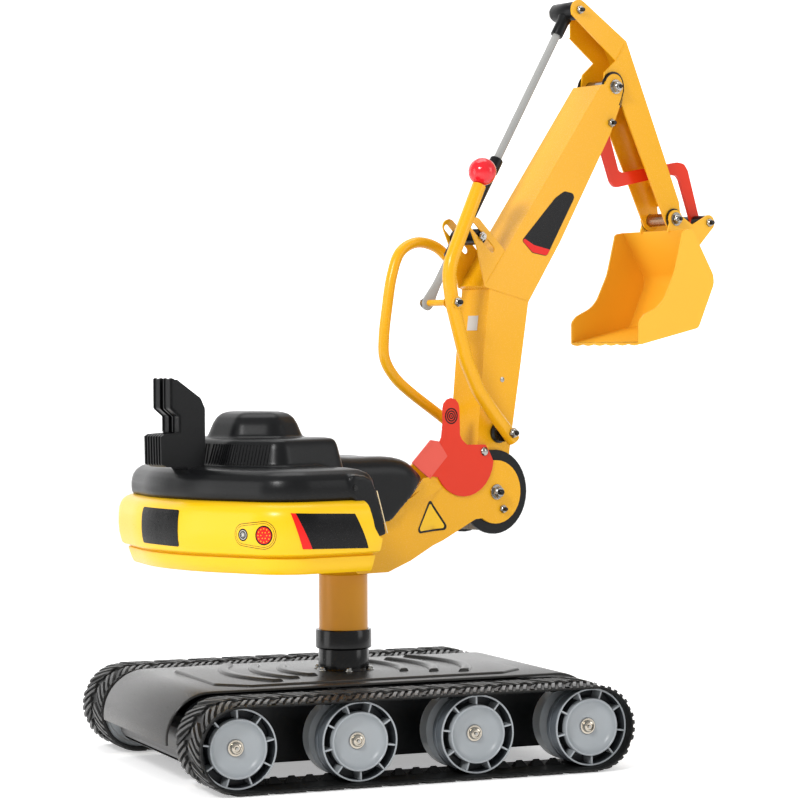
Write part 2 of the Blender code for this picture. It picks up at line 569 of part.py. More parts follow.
D = (Vector(S) - Vector(P)).normalized()
N = Vector((D[1], -D[0]))


def along(s, n=0.0):
    v = Vector(P) + D * s + N * n
    return (v[0], 0.0, v[1])


ROD_L = (Vector(S) - Vector(P)).length
rod = rod_between("rod", "rod", "grey_rod", along(6), along(ROD_L - 24), 4.75, 16)
eye = turned("add_rod_eye", "rod", None, (P[0], 0, P[1]), [(0, 3), (8.5, 3), (8.5, -3), (0, -3)], 16, cutter=True)
boolean(rod, eye, "UNION")
boolean(rod, rod_between("cut_rod_eye", "rod", None, (P[0], -20, P[1]), (P[0], 20, P[1]), 4.2, 14, cutter=True))
tb = turned("t_bush", "rod", "black_plastic", (S[0], 0, S[1]), [(10.9, 21.5), (10.9, -18.2), (7.2, -18.2), (7.2, 21.5)],
            24, hollow=True)
neck = rod_between("add_t_neck", "rod", None, along(ROD_L - 34), along(ROD_L - 8), 7.0, 16, cutter=True)
boolean(tb, neck, "UNION")
boolean(tb, rod_between("cut_t_neck", "rod", None, along(ROD_L - 60), along(ROD_L - 23.5), 5.05, 16, cutter=True))
boolean(tb, rod_between("cut_t_bore", "rod", None, (S[0], -19.5, S[1]), (S[0], 30, S[1]), 7.2, 16, cutter=True))

guide = rod_between("rod_guide", "rod_guide", "black_plastic", along(62), along(198), 7.6, 16)
boolean(guide, rod_between("add_guide_block", "rod_guide", None, (T[0], -22.6, T[1]), (T[0], 22.6, T[1]), 9.2, 18,
                           cutter=True), "UNION")
boolean(guide, rod_between("cut_guide_bore", "rod_guide", None, along(50), along(210), 5.1, 16, cutter=True))
boolean(guide, rod_between("cut_guide_bolt", "rod_guide", None, (T[0], -30, T[1]), (T[0], 30, T[1]), 3.3, 12, cutter=True))
pin("guide_bolt", "rod_guide", "zinc_steel", T, -25.6, 25.6, 2.7, (5.6, 3.4), (5.6, 3.4), 12)

# ================================================================ stick
stick_side = [(327.5, 850)] + arc(S, 12.5, 190, 55, 7) + [(414.5, 824), (440.5, 768), (501, 634)]
stick_side += arc(Q, 13.4, 25, -150, 8) + [(409.5, 742)] + arc(E, 15.4, -50, -175, 6) + [(379, 785), (397, 800)]
stick = to_mesh(plate("stick", "stick", "yellow_paint", stick_side, -STICK_HALF, STICK_HALF))
boolean(stick, to_mesh(plate("cut_stick_inside", "stick", None,
                             [(300, 800), (300, 890), (362, 890), (356.6, 855.9), (412.7, 820.6), (438.4, 767.2),
                              (499, 633.0), (530, 600), (520, 560), (380, 560)],
                             -STICK_HALF + SHEET, STICK_HALF - SHEET, cutter=True)))
boolean(stick, box("cut_stick_far_top", "stick", None, (300, 360), (0, 40), (828, 900), cutter=True))
boolean(stick, box("cut_stick_link_slot", "stick", None, (455, 520), (-4.6, 4.6), (618, 730), cutter=True))
for nm, c, r in (("elbow", E, 9.0), ("top", S, 3.4), ("bucket", Q, 8.0)):
    boolean(stick, rod_between("cut_stick_" + nm, "stick", None, (c[0], -60, c[1]), (c[0], 60, c[1]), r, 18, cutter=True))
ring("elbow_bush", "stick", "brushed_steel", E, 8.7, 4.9, -20.8, 20.8, 16)
ring("bucket_bush", "stick", "brushed_steel", Q, 7.7, 4.4, -20.8, 20.8, 16)
turned("stick_top_bolt", "stick", "zinc_steel", (S[0], 0, S[1]),
       [(0, 27), (7.6, 26), (9.0, 21.9), (3.0, 21.9), (3.0, -20.9), (5.4, -20.9), (5.4, -24.5), (0, -26)], 14)

# ================================================================ bucket
W, WALL = 61.0, 2.6
bk = [(468.5, 597.0), (484, 599.5), (519, 545), (520.5, 534), (494, 480), (396, 459.5), (396, 488), (404, 495.5), (434, 508.5),
      (455, 547), (467, 590)]
bk_in = [(430, 620), (479, 600.2), (516, 544.4), (517.2, 534.8), (491.9, 482.7), (395.0, 462.6), (380, 462), (380, 560)]
bucket = to_mesh(plate("bucket", "bucket", "bucket_plastic", bk, -W, W))
boolean(bucket, to_mesh(plate("cut_bucket_inside", "bucket", None, bk_in, -W + WALL, W - WALL, cutter=True)))
lug = [(477.5, 599)] + arc(Q, 11.0, 205, 20, 9) + [(519, 606.5)] + arc(B, 9.5, 130, -55, 9) + [(528, 579), (512, 562), (497, 577)]
for side, s in (("right", -1), ("left", 1)):
    lo, hi = sorted((s * 23.0, s * 25.4))
    b = to_mesh(plate("add_lug_" + side, "bucket", None, lug, lo, hi, cutter=True))
    boolean(bucket, b, "UNION")
for nm, c, r in (("pivot", Q, 4.4), ("rear", B, 3.4)):
    boolean(bucket, rod_between("cut_bucket_" + nm, "bucket", None, (c[0], -80, c[1]), (c[0], 80, c[1]), r, 16, cutter=True))
pin("bucket_bolt", "bucket", "zinc_steel", Q, -25.7, 25.7, 4.0, (8.2, 4.0), (8.2, 4.0), 16)
pin("bucket_rear_bolt", "bucket", "zinc_steel", B, -25.7, 25.7, 3.0, (5.4, 4.0), (5.4, 4.0), 12)
for side, s in (("right", -1), ("left", 1)):
    lo, hi = sorted((s * 21.1, s * 22.6))
    ring("bucket_spacer_" + side, "bucket", "black_plastic", Q, 13.0, 4.4, lo, hi, 20)
    lo, hi = sorted((s * 3.0, s * 22.6))
    ring("link_bush_" + side, "bucket", "black_plastic", B, 9.4, 3.4, lo, hi, 18)

# ================================================================ link from the boom's tip to the bucket
z_out = [(376.5, 714)] + [(388, 700), (405.5, 655.5), (413, 649.5), (505, 668.5), (515.5, 668), (520, 663), (539.5, 613)]
z_out += arc(B, 8.0, 190, 380, 9) + [(534, 675), (527.5, 683), (516, 684.5), (424, 668), (418, 670), (398.5, 726)]
z_link = to_mesh(plate("z_link", "z_link", "red_paint", z_out, -2.2, 2.2))
boolean(z_link, turned("add_link_eye", "z_link", None, (K[0], 0, K[1]), [(0, 2.2), (12.6, 2.2), (12.6, -2.2), (0, -2.2)], 20,
                       cutter=True), "UNION")
boolean(z_link, rod_between("cut_link_eye", "z_link", None, (K[0], -9, K[1]), (K[0], 9, K[1]), 8.9, 18, cutter=True))
boolean(z_link, rod_between("cut_link_rear", "z_link", None, (B[0], -9, B[1]), (B[0], 9, B[1]), 3.3, 14, cutter=True))

for obj in PARTS.objects:
    if obj.type == "MESH":
        smooth(obj)
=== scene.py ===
"""The look of the ride-on digger: fine surfaces, fasteners, tread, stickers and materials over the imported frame.
Lengths in the helpers are millimetres, measured from the column; 'deck' pieces are in the turned deck's plane."""
import json
import math

import bmesh
import bpy
from mathutils import Matrix, Vector


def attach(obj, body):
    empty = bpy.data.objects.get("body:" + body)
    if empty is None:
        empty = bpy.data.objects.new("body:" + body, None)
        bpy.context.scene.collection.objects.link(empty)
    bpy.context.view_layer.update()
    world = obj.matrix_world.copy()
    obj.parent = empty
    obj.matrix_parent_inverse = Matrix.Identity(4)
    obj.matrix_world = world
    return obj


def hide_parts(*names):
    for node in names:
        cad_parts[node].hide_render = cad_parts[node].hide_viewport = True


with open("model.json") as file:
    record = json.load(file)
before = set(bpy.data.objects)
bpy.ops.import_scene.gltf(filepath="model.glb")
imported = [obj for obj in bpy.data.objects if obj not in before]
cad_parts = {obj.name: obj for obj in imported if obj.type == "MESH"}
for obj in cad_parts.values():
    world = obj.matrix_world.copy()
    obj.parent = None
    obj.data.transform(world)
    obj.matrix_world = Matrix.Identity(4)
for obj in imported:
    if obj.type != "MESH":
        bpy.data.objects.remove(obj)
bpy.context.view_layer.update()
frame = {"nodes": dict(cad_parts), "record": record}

NODES = frame["nodes"]
MM = 0.001
COLUMN_X = -148.84
DECK = Matrix.Translation((COLUMN_X * MM, 0, 0)) @ Matrix.Rotation(math.radians(15.8), 4, "Z") @ Matrix.Scale(MM, 4)
ROOT = Matrix.Translation((COLUMN_X * MM, 0, 0)) @ Matrix.Scale(MM, 4)

A, E, K = (197.0, 291.0), (392.0, 768.0), (384.5, 724.5)
S, Q, B = (339.0, 856.0), (491.0, 613.0), (547.0, 610.0)
L0, P, T = (205.0, 359.0), (123.0, 508.0), (183.0, 584.5)
STOP, GB = (206.5, 271.0), (177.5, 338.0)
LEVER_Y = -45.0
WHEEL_Z = 47.5
WHEEL_X = (-194.0, -60.5, 73.1, 206.6)


# ------------------------------------------------------------------ materials
def srgb(r, g, b):
    return tuple((c / 12.92 if c <= 0.04045 else ((c + 0.055) / 1.055) ** 2.4) for c in (r, g, b))


def mat(name, rgb, rough, metal=0.0, scale=260.0, bump=0.03, var=0.05, rvar=0.08, coat=0.0, spec=0.5, grime=0.0):
    m = bpy.data.materials.new(name)
    m.use_nodes = True
    nt = m.node_tree
    s = nt.nodes["Principled BSDF"]
    s.inputs["Base Color"].default_value = (*rgb, 1)
    s.inputs["Roughness"].default_value = rough
    s.inputs["Metallic"].default_value = metal
    s.inputs["Coat Weight"].default_value = coat
    s.inputs["Coat Roughness"].default_value = 0.12
    s.inputs["Specular IOR Level"].default_value = spec
    tc = nt.nodes.new("ShaderNodeTexCoord")
    fine = nt.nodes.new("ShaderNodeTexNoise")
    fine.inputs["Scale"].default_value = scale
    fine.inputs["Detail"].default_value = 5.0
    broad = nt.nodes.new("ShaderNodeTexNoise")
    broad.inputs["Scale"].default_value = 9.0
    broad.inputs["Detail"].default_value = 3.0
    for n in (fine, broad):
        nt.links.new(tc.outputs["Object"], n.inputs["Vector"])
    mix = nt.nodes.new("ShaderNodeMix")
    mix.data_type = "RGBA"
    mix.inputs[6].default_value = (*[c * (1 - var) for c in rgb], 1)
    mix.inputs[7].default_value = (*[min(1, c * (1 + var)) for c in rgb], 1)
    nt.links.new(broad.outputs["Fac"], mix.inputs[0])
    nt.links.new(mix.outputs[2], s.inputs["Base Color"])
    rr = nt.nodes.new("ShaderNodeMapRange")
    rr.inputs["To Min"].default_value = max(0.03, rough - rvar)
    rr.inputs["To Max"].default_value = min(1, rough + rvar)
    nt.links.new(fine.outputs["Fac"], rr.inputs["Value"])
    nt.links.new(rr.outputs["Result"], s.inputs["Roughness"])
    if bump:
        b = nt.nodes.new("ShaderNodeBump")
        b.inputs["Strength"].default_value = bump
        b.inputs["Distance"].default_value = 0.0006
        nt.links.new(fine.outputs["Fac"], b.inputs["Height"])
        nt.links.new(b.outputs["Normal"], s.inputs["Normal"])
    return m


YELLOW = mat("boom yellow paint", srgb(0.905, 0.655, 0.075), 0.26, scale=700, bump=0.05, var=0.03, coat=0.12, spec=0.28)
DECK_YELLOW = mat("deck yellow plastic", srgb(0.925, 0.73, 0.05), 0.30, scale=900, bump=0.03, var=0.02, coat=0.05, spec=0.3)
# a darker copy of the yellow paint: painted shade for the column under the deck
COLUMN_YELLOW_SHADED = mat("column yellow paint with painted shade", srgb(0.86, 0.58, 0.03), 0.32, scale=700, bump=0.05, var=0.03, coat=0.05, spec=0.3)
BUCKET_YELLOW = mat("bucket plastic", srgb(0.94, 0.71, 0.19), 0.40, scale=500, bump=0.05, var=0.03, spec=0.3)
BLACK = mat("black moulded plastic", srgb(0.062, 0.065, 0.07), 0.30, scale=1400, bump=0.08, var=0.08, spec=0.22)
BLACK_GLOSS = mat("black enamel", srgb(0.06, 0.062, 0.066), 0.2, scale=600, bump=0.03, var=0.05, coat=0.15, spec=0.25)
NOSE = mat("black enamel cover", srgb(0.165, 0.162, 0.158), 0.29, scale=800, bump=0.04, var=0.06, spec=0.28)
RUBBER = mat("track rubber", srgb(0.075, 0.077, 0.077), 0.5, scale=900, bump=0.25, var=0.14, spec=0.22)
RUBBER_LUG = mat("track lugs", srgb(0.13, 0.13, 0.128), 0.38, scale=900, bump=0.3, var=0.2, spec=0.34)
GREY = mat("grey wheel plastic", srgb(0.62, 0.64, 0.655), 0.33, scale=600, bump=0.06, var=0.06, spec=0.4)
# a dark copy of the wheel grey: painted shade in the recess between ring and hub
GREY_RECESS_SHADE = mat("grey wheel plastic with painted recess shade", srgb(0.21, 0.225, 0.24), 0.45, scale=600, bump=0.06, var=0.08, spec=0.3)
# a darker copy of the wheel grey: painted shade on the wheel's side cylinder
GREY_DRUM_SHADE = mat("grey wheel plastic with painted shade on the drum band", srgb(0.40, 0.425, 0.45), 0.38, scale=600, bump=0.06, var=0.08, spec=0.35)
RED = mat("red paint", srgb(0.85, 0.19, 0.07), 0.32, scale=700, bump=0.04, var=0.03, coat=0.05, spec=0.28)
# a lighter copy of the red paint: painted highlight for the guard's up-facing flap
RED_FLAP_LIT = mat("red paint with painted highlight for the up-facing flap", srgb(0.87, 0.33, 0.27), 0.4, scale=700, bump=0.04, var=0.03, coat=0.1, spec=0.5)
RED_BALL = mat("red knob", srgb(0.86, 0.10, 0.15), 0.16, scale=700, bump=0.02, var=0.02, coat=0.3, spec=0.4)
ZINC = mat("zinc steel", srgb(0.64, 0.635, 0.62), 0.24, metal=1.0, scale=500, bump=0.08, var=0.08)
NICKEL = mat("nickel screw", srgb(0.74, 0.71, 0.66), 0.2, metal=1.0, scale=500, bump=0.08, var=0.1)
COPPER = mat("yellow zinc bush", srgb(0.66, 0.52, 0.42), 0.28, metal=1.0, scale=500, bump=0.08, var=0.1)
ROD_GREY = mat("grey rod paint", srgb(0.60, 0.60, 0.59), 0.42, scale=900, bump=0.05, var=0.04, spec=0.3)
BUFFER_GREY = mat("grey buffer", srgb(0.62, 0.60, 0.55), 0.55, scale=700, bump=0.1, var=0.08)
CAP = mat("black cap", srgb(0.045, 0.045, 0.047), 0.3, scale=800, bump=0.05, var=0.1, spec=0.3)
STICKER = mat("sticker black", srgb(0.045, 0.045, 0.05), 0.28, scale=500, bump=0.01, var=0.03, spec=0.2)
STICKER_RED = mat("sticker red", srgb(0.86, 0.10, 0.08), 0.3, scale=500, bump=0.01, var=0.02, spec=0.25)
STICKER_YELLOW = mat("sticker yellow", srgb(0.94, 0.74, 0.10), 0.3, scale=500, bump=0.01, var=0.02, spec=0.3)
STICKER_GREY = mat("sticker grey", srgb(0.78, 0.77, 0.75), 0.35, scale=500, bump=0.01, var=0.04, spec=0.4)
# a cream colour for a thin line on the black legs' front edge: painted highlight
EDGE_HIGHLIGHT = mat("painted edge highlight", srgb(0.86, 0.78, 0.62), 0.5, scale=700, bump=0.05, var=0.04)


# ------------------------------------------------------------------ outlines
def arc(c, r, a0, a1, n):
    return [(c[0] + r * math.cos(math.radians(a0 + (a1 - a0) * i / n)),
             c[1] + r * math.sin(math.radians(a0 + (a1 - a0) * i / n))) for i in range(n + 1)]


def circle(c, r, n=32):
    return arc(c, r, 0, 360, n)[:-1]


def fillet(poly, radii, n=6):
    out, m = [], len(poly)
    for i in range(m):
        r = radii if isinstance(radii, (int, float)) else radii[i]
        p0, p1, p2 = Vector(poly[i - 1]), Vector(poly[i]), Vector(poly[(i + 1) % m])
        u, v = (p0 - p1).normalized(), (p2 - p1).normalized()
        half = math.acos(max(-1, min(1, u.dot(v)))) / 2
        if r <= 0 or half > math.radians(88.5):
            out.append(tuple(p1))
            continue
        t = min(r / math.tan(half), 0.48 * (p0 - p1).length, 0.48 * (p2 - p1).length)
        r = t * math.tan(half)
        c = p1 + (u + v).normalized() * (r / math.sin(half))
        a0 = math.atan2(*(reversed((p1 + u * t - c)[:])))
        a1 = math.atan2(*(reversed((p1 + v * t - c)[:])))
        d = (a1 - a0 + math.pi) % (2 * math.pi) - math.pi
        out += [(c[0] + r * math.cos(a0 + d * k / n), c[1] + r * math.sin(a0 + d * k / n)) for k in range(n + 1)]
    return out


def area(poly):
    return sum(poly[i - 1][0] * poly[i][1] - poly[i][0] * poly[i - 1][1] for i in range(len(poly))) / 2


def offset(poly, d):
    s = 1 if area(poly) > 0 else -1
    out, m = [], len(poly)
    for i in range(m):
        p0, p1, p2 = Vector(poly[i - 1]), Vector(poly[i]), Vector(poly[(i + 1) % m])
        e1, e2 = (p1 - p0).normalized(), (p2 - p1).normalized()
        n1, n2 = Vector((e1[1], -e1[0])) * s, Vector((e2[1], -e2[0])) * s
        b = n1 + n2
        out.append(tuple(p1 + b * (d / b.dot(n1))))
    return out


def mirror_x(half):
    return half + [(x, -y) for x, y in reversed(half)]


def bend(points, r, n=8):
    out = [Vector(points[0])]
    for i in range(1, len(points) - 1):
        p0, p1, p2 = (Vector(points[k]) for k in (i - 1, i, i + 1))
        u, v = (p0 - p1).normalized(), (p2 - p1).normalized()
        half = math.acos(max(-1, min(1, u.dot(v)))) / 2
        if half > math.radians(89.3):
            out.append(p1)
            continue
        t = min(r / math.tan(half), 0.49 * (p0 - p1).length, 0.49 * (p2 - p1).length)
        for k in range(n + 1):
            f = k / n
            out.append((p1 + u * t) * (1 - f) ** 2 + p1 * 2 * f * (1 - f) + (p1 + v * t) * f ** 2)
    out.append(Vector(points[-1]))
    return out


def smooth_path(points, n=8):
    """A Catmull-Rom path through the points."""
    p = [Vector(q) for q in points]
    p = [2 * p[0] - p[1]] + p + [2 * p[-1] - p[-2]]
    out = []
    for i in range(1, len(p) - 2):
        for k in range(n):
            t = k / n
            out.append(0.5 * ((2 * p[i]) + (p[i + 1] - p[i - 1]) * t + (2 * p[i - 1] - 5 * p[i] + 4 * p[i + 1] - p[i + 2]) * t * t
                              + (3 * p[i] - p[i - 1] - 3 * p[i + 1] + p[i + 2]) * t ** 3))
    out.append(p[-2])
    return out


# ------------------------------------------------------------------ mesh makers (millimetres in, mesh out)
class Mesh:
    """Faces gathered in millimetres, each with a material number."""

    def __init__(self):
        self.v, self.f, self.m = [], [], []

    def grid(self, rows, wrap_u=False, wrap_v=False, m=0):
        base, nu, nv = len(self.v), len(rows), len(rows[0])
        for r in rows:
            self.v += [tuple(p) for p in r]
        for i in range(nu if wrap_u else nu - 1):
            for j in range(nv if wrap_v else nv - 1):
                a, b = base + i * nv + j, base + i * nv + (j + 1) % nv
                c, d = base + ((i + 1) % nu) * nv + (j + 1) % nv, base + ((i + 1) % nu) * nv + j
                self.f.append((a, b, c, d))
                self.m.append(m)
        return base

    def face(self, pts, m=0):
        base = len(self.v)
        self.v += [tuple(p) for p in pts]
        self.f.append(tuple(range(base, base + len(pts))))
        self.m.append(m)

    def spin(self, centre, profile, n=36, axis="Y", m=0, flip=1):
        """(radius, height) pairs turned about an axis through centre; height counts along the axis times flip."""
        rows = []
        for r, h in profile:
            row = []
            for k in range(n):
                a = 2 * math.pi * k / n
                if axis == "Y":
                    row.append((centre[0] + r * math.cos(a), centre[1] + flip * h, centre[2] + r * math.sin(a)))
                else:
                    row.append((centre[0] + r * math.cos(a), centre[1] + r * math.sin(a), centre[2] + flip * h))
            rows.append(row)
        self.grid(rows, wrap_v=True, m=m)

    def prism(self, outline, y0, y1, m=0, level=False):
        a = [((x, y0, z) if not level else (x, z, y0)) for x, z in outline]
        b = [((x, y1, z) if not level else (x, z, y1)) for x, z in outline]
        self.grid([a, b], wrap_v=True, m=m)
        self.face(a, m)
        self.face(list(reversed(b)), m)

    def box(self, x, y, z, m=0):
        self.prism([(x[0], z[0]), (x[1], z[0]), (x[1], z[1]), (x[0], z[1])], y[0], y[1], m)

    def tube(self, points, r, n=20, m=0, caps=True):
        pts = [Vector(p) for p in points]
        rows, up = [], Vector((0, 1, 0))
        radii = r if isinstance(r, (list, tuple)) else [r] * len(pts)
        for i, p in enumerate(pts):
            d = (pts[min(i + 1, len(pts) - 1)] - pts[max(i - 1, 0)]).normalized()
            side = d.cross(up)
            if side.length < 0.1:
                side = d.cross(Vector((1, 0, 0)))
            side.normalize()
            up2 = side.cross(d).normalized()
            up = up2
            rows.append([p + side * (radii[i] * math.cos(2 * math.pi * k / n)) + up2 * (radii[i] * math.sin(2 * math.pi * k / n))
                         for k in range(n)])
        self.grid(rows, wrap_v=True, m=m)
        if caps:
            self.face(rows[0], m)
            self.face(list(reversed(rows[-1])), m)

    def hexnut(self, centre, flats, y0, y1, m=0, flip=1, turn=0.0):
        """A chamfered hexagon nut across the machine, from y0 to y1 outwards."""
        R = flats / 2 / math.cos(math.pi / 6)
        rows = []
        for rr, y in ((R * 0.0, y0), (R, y0), (R, y0 + (y1 - y0) * 0.82), (R * 0.93, y1), (R * 0.5, y1)):
            rows.append([(centre[0] + rr * math.cos(turn + k * math.pi / 3), flip * y, centre[1] + rr * math.sin(turn + k * math.pi / 3))
                         for k in range(6)])
        self.grid(rows, wrap_v=True, m=m)

    def make(self, name, M=DECK, weld=True):
        me = bpy.data.meshes.new(name)
        me.from_pydata([tuple(M @ Vector(p)) for p in self.v], [], self.f)
        for poly, k in zip(me.polygons, self.m):
            poly.material_index = k
        bm = bmesh.new()
        bm.from_mesh(me)
        if weld:
            bmesh.ops.remove_doubles(bm, verts=bm.verts, dist=1e-6)
        bmesh.ops.dissolve_degenerate(bm, edges=bm.edges, dist=1e-7)
        bmesh.ops.recalc_face_normals(bm, faces=bm.faces)
        bm.to_mesh(me)
        bm.free()
        return me


def piece(name, me, body, mats, replaces=(), angle=32, bevel=0.0, segs=2, limit=30):
    obj = bpy.data.objects.new(name, me)
    bpy.context.scene.collection.objects.link(obj)
    numbers = [f.material_index for f in me.polygons]
    me.materials.clear()
    for m in (mats if isinstance(mats, (list, tuple)) else [mats]):
        me.materials.append(m)
    me.polygons.foreach_set("material_index", [min(k, len(me.materials) - 1) for k in numbers])
    if bevel:
        b = obj.modifiers.new("edge", "BEVEL")
        b.width = bevel * MM
        b.segments = segs
        b.limit_method = "ANGLE"
        b.angle_limit = math.radians(limit)
        b.use_clamp_overlap = True
    me.shade_smooth()
    me.set_sharp_from_angle(angle=math.radians(angle))
    if bevel:
        w = obj.modifiers.new("normals", "WEIGHTED_NORMAL")
        w.keep_sharp = True
    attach(obj, body)
    if replaces:
        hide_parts(*replaces)
    return obj


BODY = {n: b for b, ns in frame["record"]["behaviour"]["bodies"].items() for n in ns}


def polish(node, width, material, angle=30, segs=3):
    """A node's own shape with its flat faces cleaned and its edges rounded."""
    me = NODES[node].data.copy()
    bm = bmesh.new()
    bm.from_mesh(me)
    bmesh.ops.remove_doubles(bm, verts=bm.verts, dist=2e-6)
    bmesh.ops.dissolve_limit(bm, angle_limit=math.radians(1.0), verts=bm.verts, edges=bm.edges)
    for f in bm.faces:
        f.material_index = 0
    bmesh.ops.recalc_face_normals(bm, faces=bm.faces)
    bm.to_mesh(me)
    bm.free()
    me.name = "skin_" + node
    return piece("skin_" + node, me, BODY[node], material, (node,), angle=40, bevel=width, segs=segs, limit=angle)


def paint(node, material):
    for s in NODES[node].material_slots:
        s.material = material
    if not NODES[node].material_slots:
        NODES[node].data.materials.append(material)


# ================================================================== tracks
STRAIGHT = WHEEL_X[-1] - WHEEL_X[0]
REF = 45.0
TOTAL = 2 * STRAIGHT + 2 * math.pi * REF


def track_pt(s, R):
    s %= TOTAL
    if s < STRAIGHT:
        return WHEEL_X[0] + s, WHEEL_Z + R
    s -= STRAIGHT
    if s < math.pi * REF:
        a = math.pi / 2 - s / REF
        return WHEEL_X[-1] + R * math.cos(a), WHEEL_Z + R * math.sin(a)
    s -= math.pi * REF
    if s < STRAIGHT:
        return WHEEL_X[-1] - s, WHEEL_Z - R
    s -= STRAIGHT
    a = -math.pi / 2 - s / REF
    return WHEEL_X[0] + R * math.cos(a), WHEEL_Z + R * math.sin(a)


def track_stops():
    out, s = [], 0.0
    for length, n in ((STRAIGHT, 24), (math.pi * REF, 30), (STRAIGHT, 24), (math.pi * REF, 30)):
        out += [s + length * i / n for i in range(n)]
        s += length
    return out


BELT_SECTION = [(137.0, 42.4), (136.9, 44.2), (137.6, 45.4), (139.5, 45.8), (142.5, 45.2), (146, 44.1), (206, 44.1),
                (209.5, 44.6), (212.5, 45.0), (214.4, 44.8), (215.1, 44.2), (215.0, 43.4), (214.4, 43.0), (214.6, 42.4),
                (212, 42.2), (140, 42.2)]
PITCH = TOTAL / 26
for side, s in (("right", -1), ("left", 1)):
    g = Mesh()
    rows = []
    for st in track_stops():
        rows.append([(lambda q: (q[0], s * y, q[1]))(track_pt(st, R)) for y, R in BELT_SECTION])
    g.grid(rows, wrap_u=True, wrap_v=True, m=0)
    for half in (0, 1):
        y_edge, y_mid = ((214.9, 179.5) if half == 0 else (137.2, 172.5))
        for k in range(26):
            for j in range(4):
                s0 = (k + 0.5 * half) * PITCH + j * 8.2
                pts = 7
                rows = []
                for t in range(pts):
                    f = t / (pts - 1)
                    if j % 2 and f > 0.86:
                        f = 0.86
                    y = y_edge + (y_mid - y_edge) * f
                    sw = s0 + (17.0 * f ** 1.35 + 1.6 * math.sin(3.2 * f))
                    top = 47.45 - (0.8 if t in (0, pts - 1) else 0.0)
                    wt, wb = 1.9, 2.7
                    row = [(*track_pt(sw - wb, 43.6), y), (*track_pt(sw - wt, top), y), (*track_pt(sw + wt, top), y),
                           (*track_pt(sw + wb, 43.6), y)]
                    rows.append([(x, s * yy, z) for x, z, yy in row])
                g.grid(rows, m=1)
                g.face(rows[0], 1)
                g.face(list(reversed(rows[-1])), 1)
        for k in range(26):                      # the pad between two rib groups
            s0 = (k + 0.5 * half) * PITCH + 4 * 8.2 - 0.6
            rows = []
            for t in range(5):
                f = t / 4
                y = y_edge + (y_mid - y_edge) * (0.05 + 0.9 * f)
                sw = s0 + 17.0 * f ** 1.35 + 2.4
                rows.append([(x, s * y, z) for x, z in (track_pt(sw - 2.6, 44.4), track_pt(sw - 2.0, 46.2), track_pt(sw + 2.0, 46.2),
                                                       track_pt(sw + 2.6, 44.4))])
            g.grid(rows, m=0)
    n_teeth = 54
    for k in range(n_teeth):                     # inner guide teeth in the wheels' grooves
        s0 = (k + 0.5) * TOTAL / n_teeth
        lo = [track_pt(s0 - 7.5, 42.6), track_pt(s0 + 7.5, 42.6)]
        hi = [track_pt(s0 - 3.0, 35.6), track_pt(s0 + 3.0, 35.6)]
        a = [(lo[0][0], s * 164.6, lo[0][1]), (lo[1][0], s * 164.6, lo[1][1]), (lo[1][0], s * 175.4, lo[1][1]), (lo[0][0], s * 175.4, lo[0][1])]
        b = [(hi[0][0], s * 169.2, hi[0][1]), (hi[1][0], s * 169.2, hi[1][1]), (hi[1][0], s * 170.8, hi[1][1]), (hi[0][0], s * 170.8, hi[0][1])]
        g.grid([a, b], wrap_v=True, m=0)
        g.face(list(reversed(b)), 0)
    piece("belt_" + side, g.make("belt_" + side, ROOT), "undercarriage", [RUBBER, RUBBER_LUG], ("track_belt_" + side,), 38)

# ================================================================== wheels
for side, s in (("right", -1), ("left", 1)):
    for i, x in enumerate(WHEEL_X):
        g = Mesh()
        c = (x, 0, WHEEL_Z)
        turn = 0.35 * i + 0.2
        # drum halves and groove, the thin outer ring, the recess floor, hub wall, hub rim, dish
        g.spin(c, [(5.6, 143), (12, 143), (14, 144.5), (36, 144.5), (38, 143), (41.2, 143), (41.9, 143.7), (41.9, 161.3), (33.4, 169),
                   (33.4, 171), (41.9, 178.7)], 56, "Y", 0, s)
        # the outer band takes the mid grey: painted shade on the wheel's side cylinder
        g.spin(c, [(41.9, 178.7), (41.9, 186), (41.3, 186.3), (41.3, 188.2), (41.9, 188.5), (41.9, 201.2)], 56, "Y", 3, s)
        g.spin(c, [(41.9, 201.2), (41.9, 202.4), (41.5, 203.0), (40.4, 203.0), (40.0, 202.4)], 56, "Y", 0, s)
        # recess wall, floor and hub wall take the dark grey: painted shade in the recess
        g.spin(c, [(40.0, 202.4), (39.6, 183.0)], 56, "Y", 2, s)
        g.spin(c, [(39.6, 183.0), (31.6, 183.0)], 56, "Y", 2, s)
        g.spin(c, [(31.6, 183.0), (31.3, 196.0)], 56, "Y", 2, s)
        g.spin(c, [(31.3, 196.0), (31.2, 202.6), (30.7, 203.6), (29.6, 203.8), (28.9, 203.2), (28.2, 200.5), (26.4, 197.6), (23, 195.2),
                   (17, 193.6), (9.5, 193.2), (9.0, 192.6), (5.6, 192.4), (5.6, 143)], 56, "Y", 0, s)
        for k in range(9):
            a = turn + 2 * math.pi * k / 9
            ca, sa = math.cos(a), math.sin(a)
            w = 0.85
            row0 = [(x + r * ca - t * sa, s * 183.2, WHEEL_Z + r * sa + t * ca) for r, t in ((31.3, -w), (39.9, -w), (39.9, w), (31.3, w))]
            row1 = [(p[0], s * 202.0, p[2]) for p in row0]
            g.grid([row0, row1], wrap_v=True, m=0)
            g.face(list(reversed(row1)), 0)
        body = "wheel_%s_%d" % (side, i + 1)
        piece(body + "_moulding", g.make(body, ROOT), body, [GREY, GREY, GREY_RECESS_SHADE, GREY_DRUM_SHADE], (body,), 30)
        # the bolt that ends in the dish: washer, dome and its slot
        g = Mesh()
        g.spin(c, [(0, 193.4), (8.4, 193.4), (8.6, 194.0), (8.4, 194.6), (6.7, 194.7), (6.5, 196.6), (5.4, 198.4), (3.6, 199.2), (3.3, 198.0),
                   (0, 197.8)], 28, "Y", 0, s)
        g.spin(c, [(0, 197.9), (1.9, 197.9), (1.7, 199.6), (0, 199.8)], 16, "Y", 1, s)
        piece(body + "_bolt", g.make(body + "_bolt", ROOT), body, [NICKEL, ZINC], (), 30)
for i in range(4):
    paint("axle_%d" % (i + 1), ZINC)

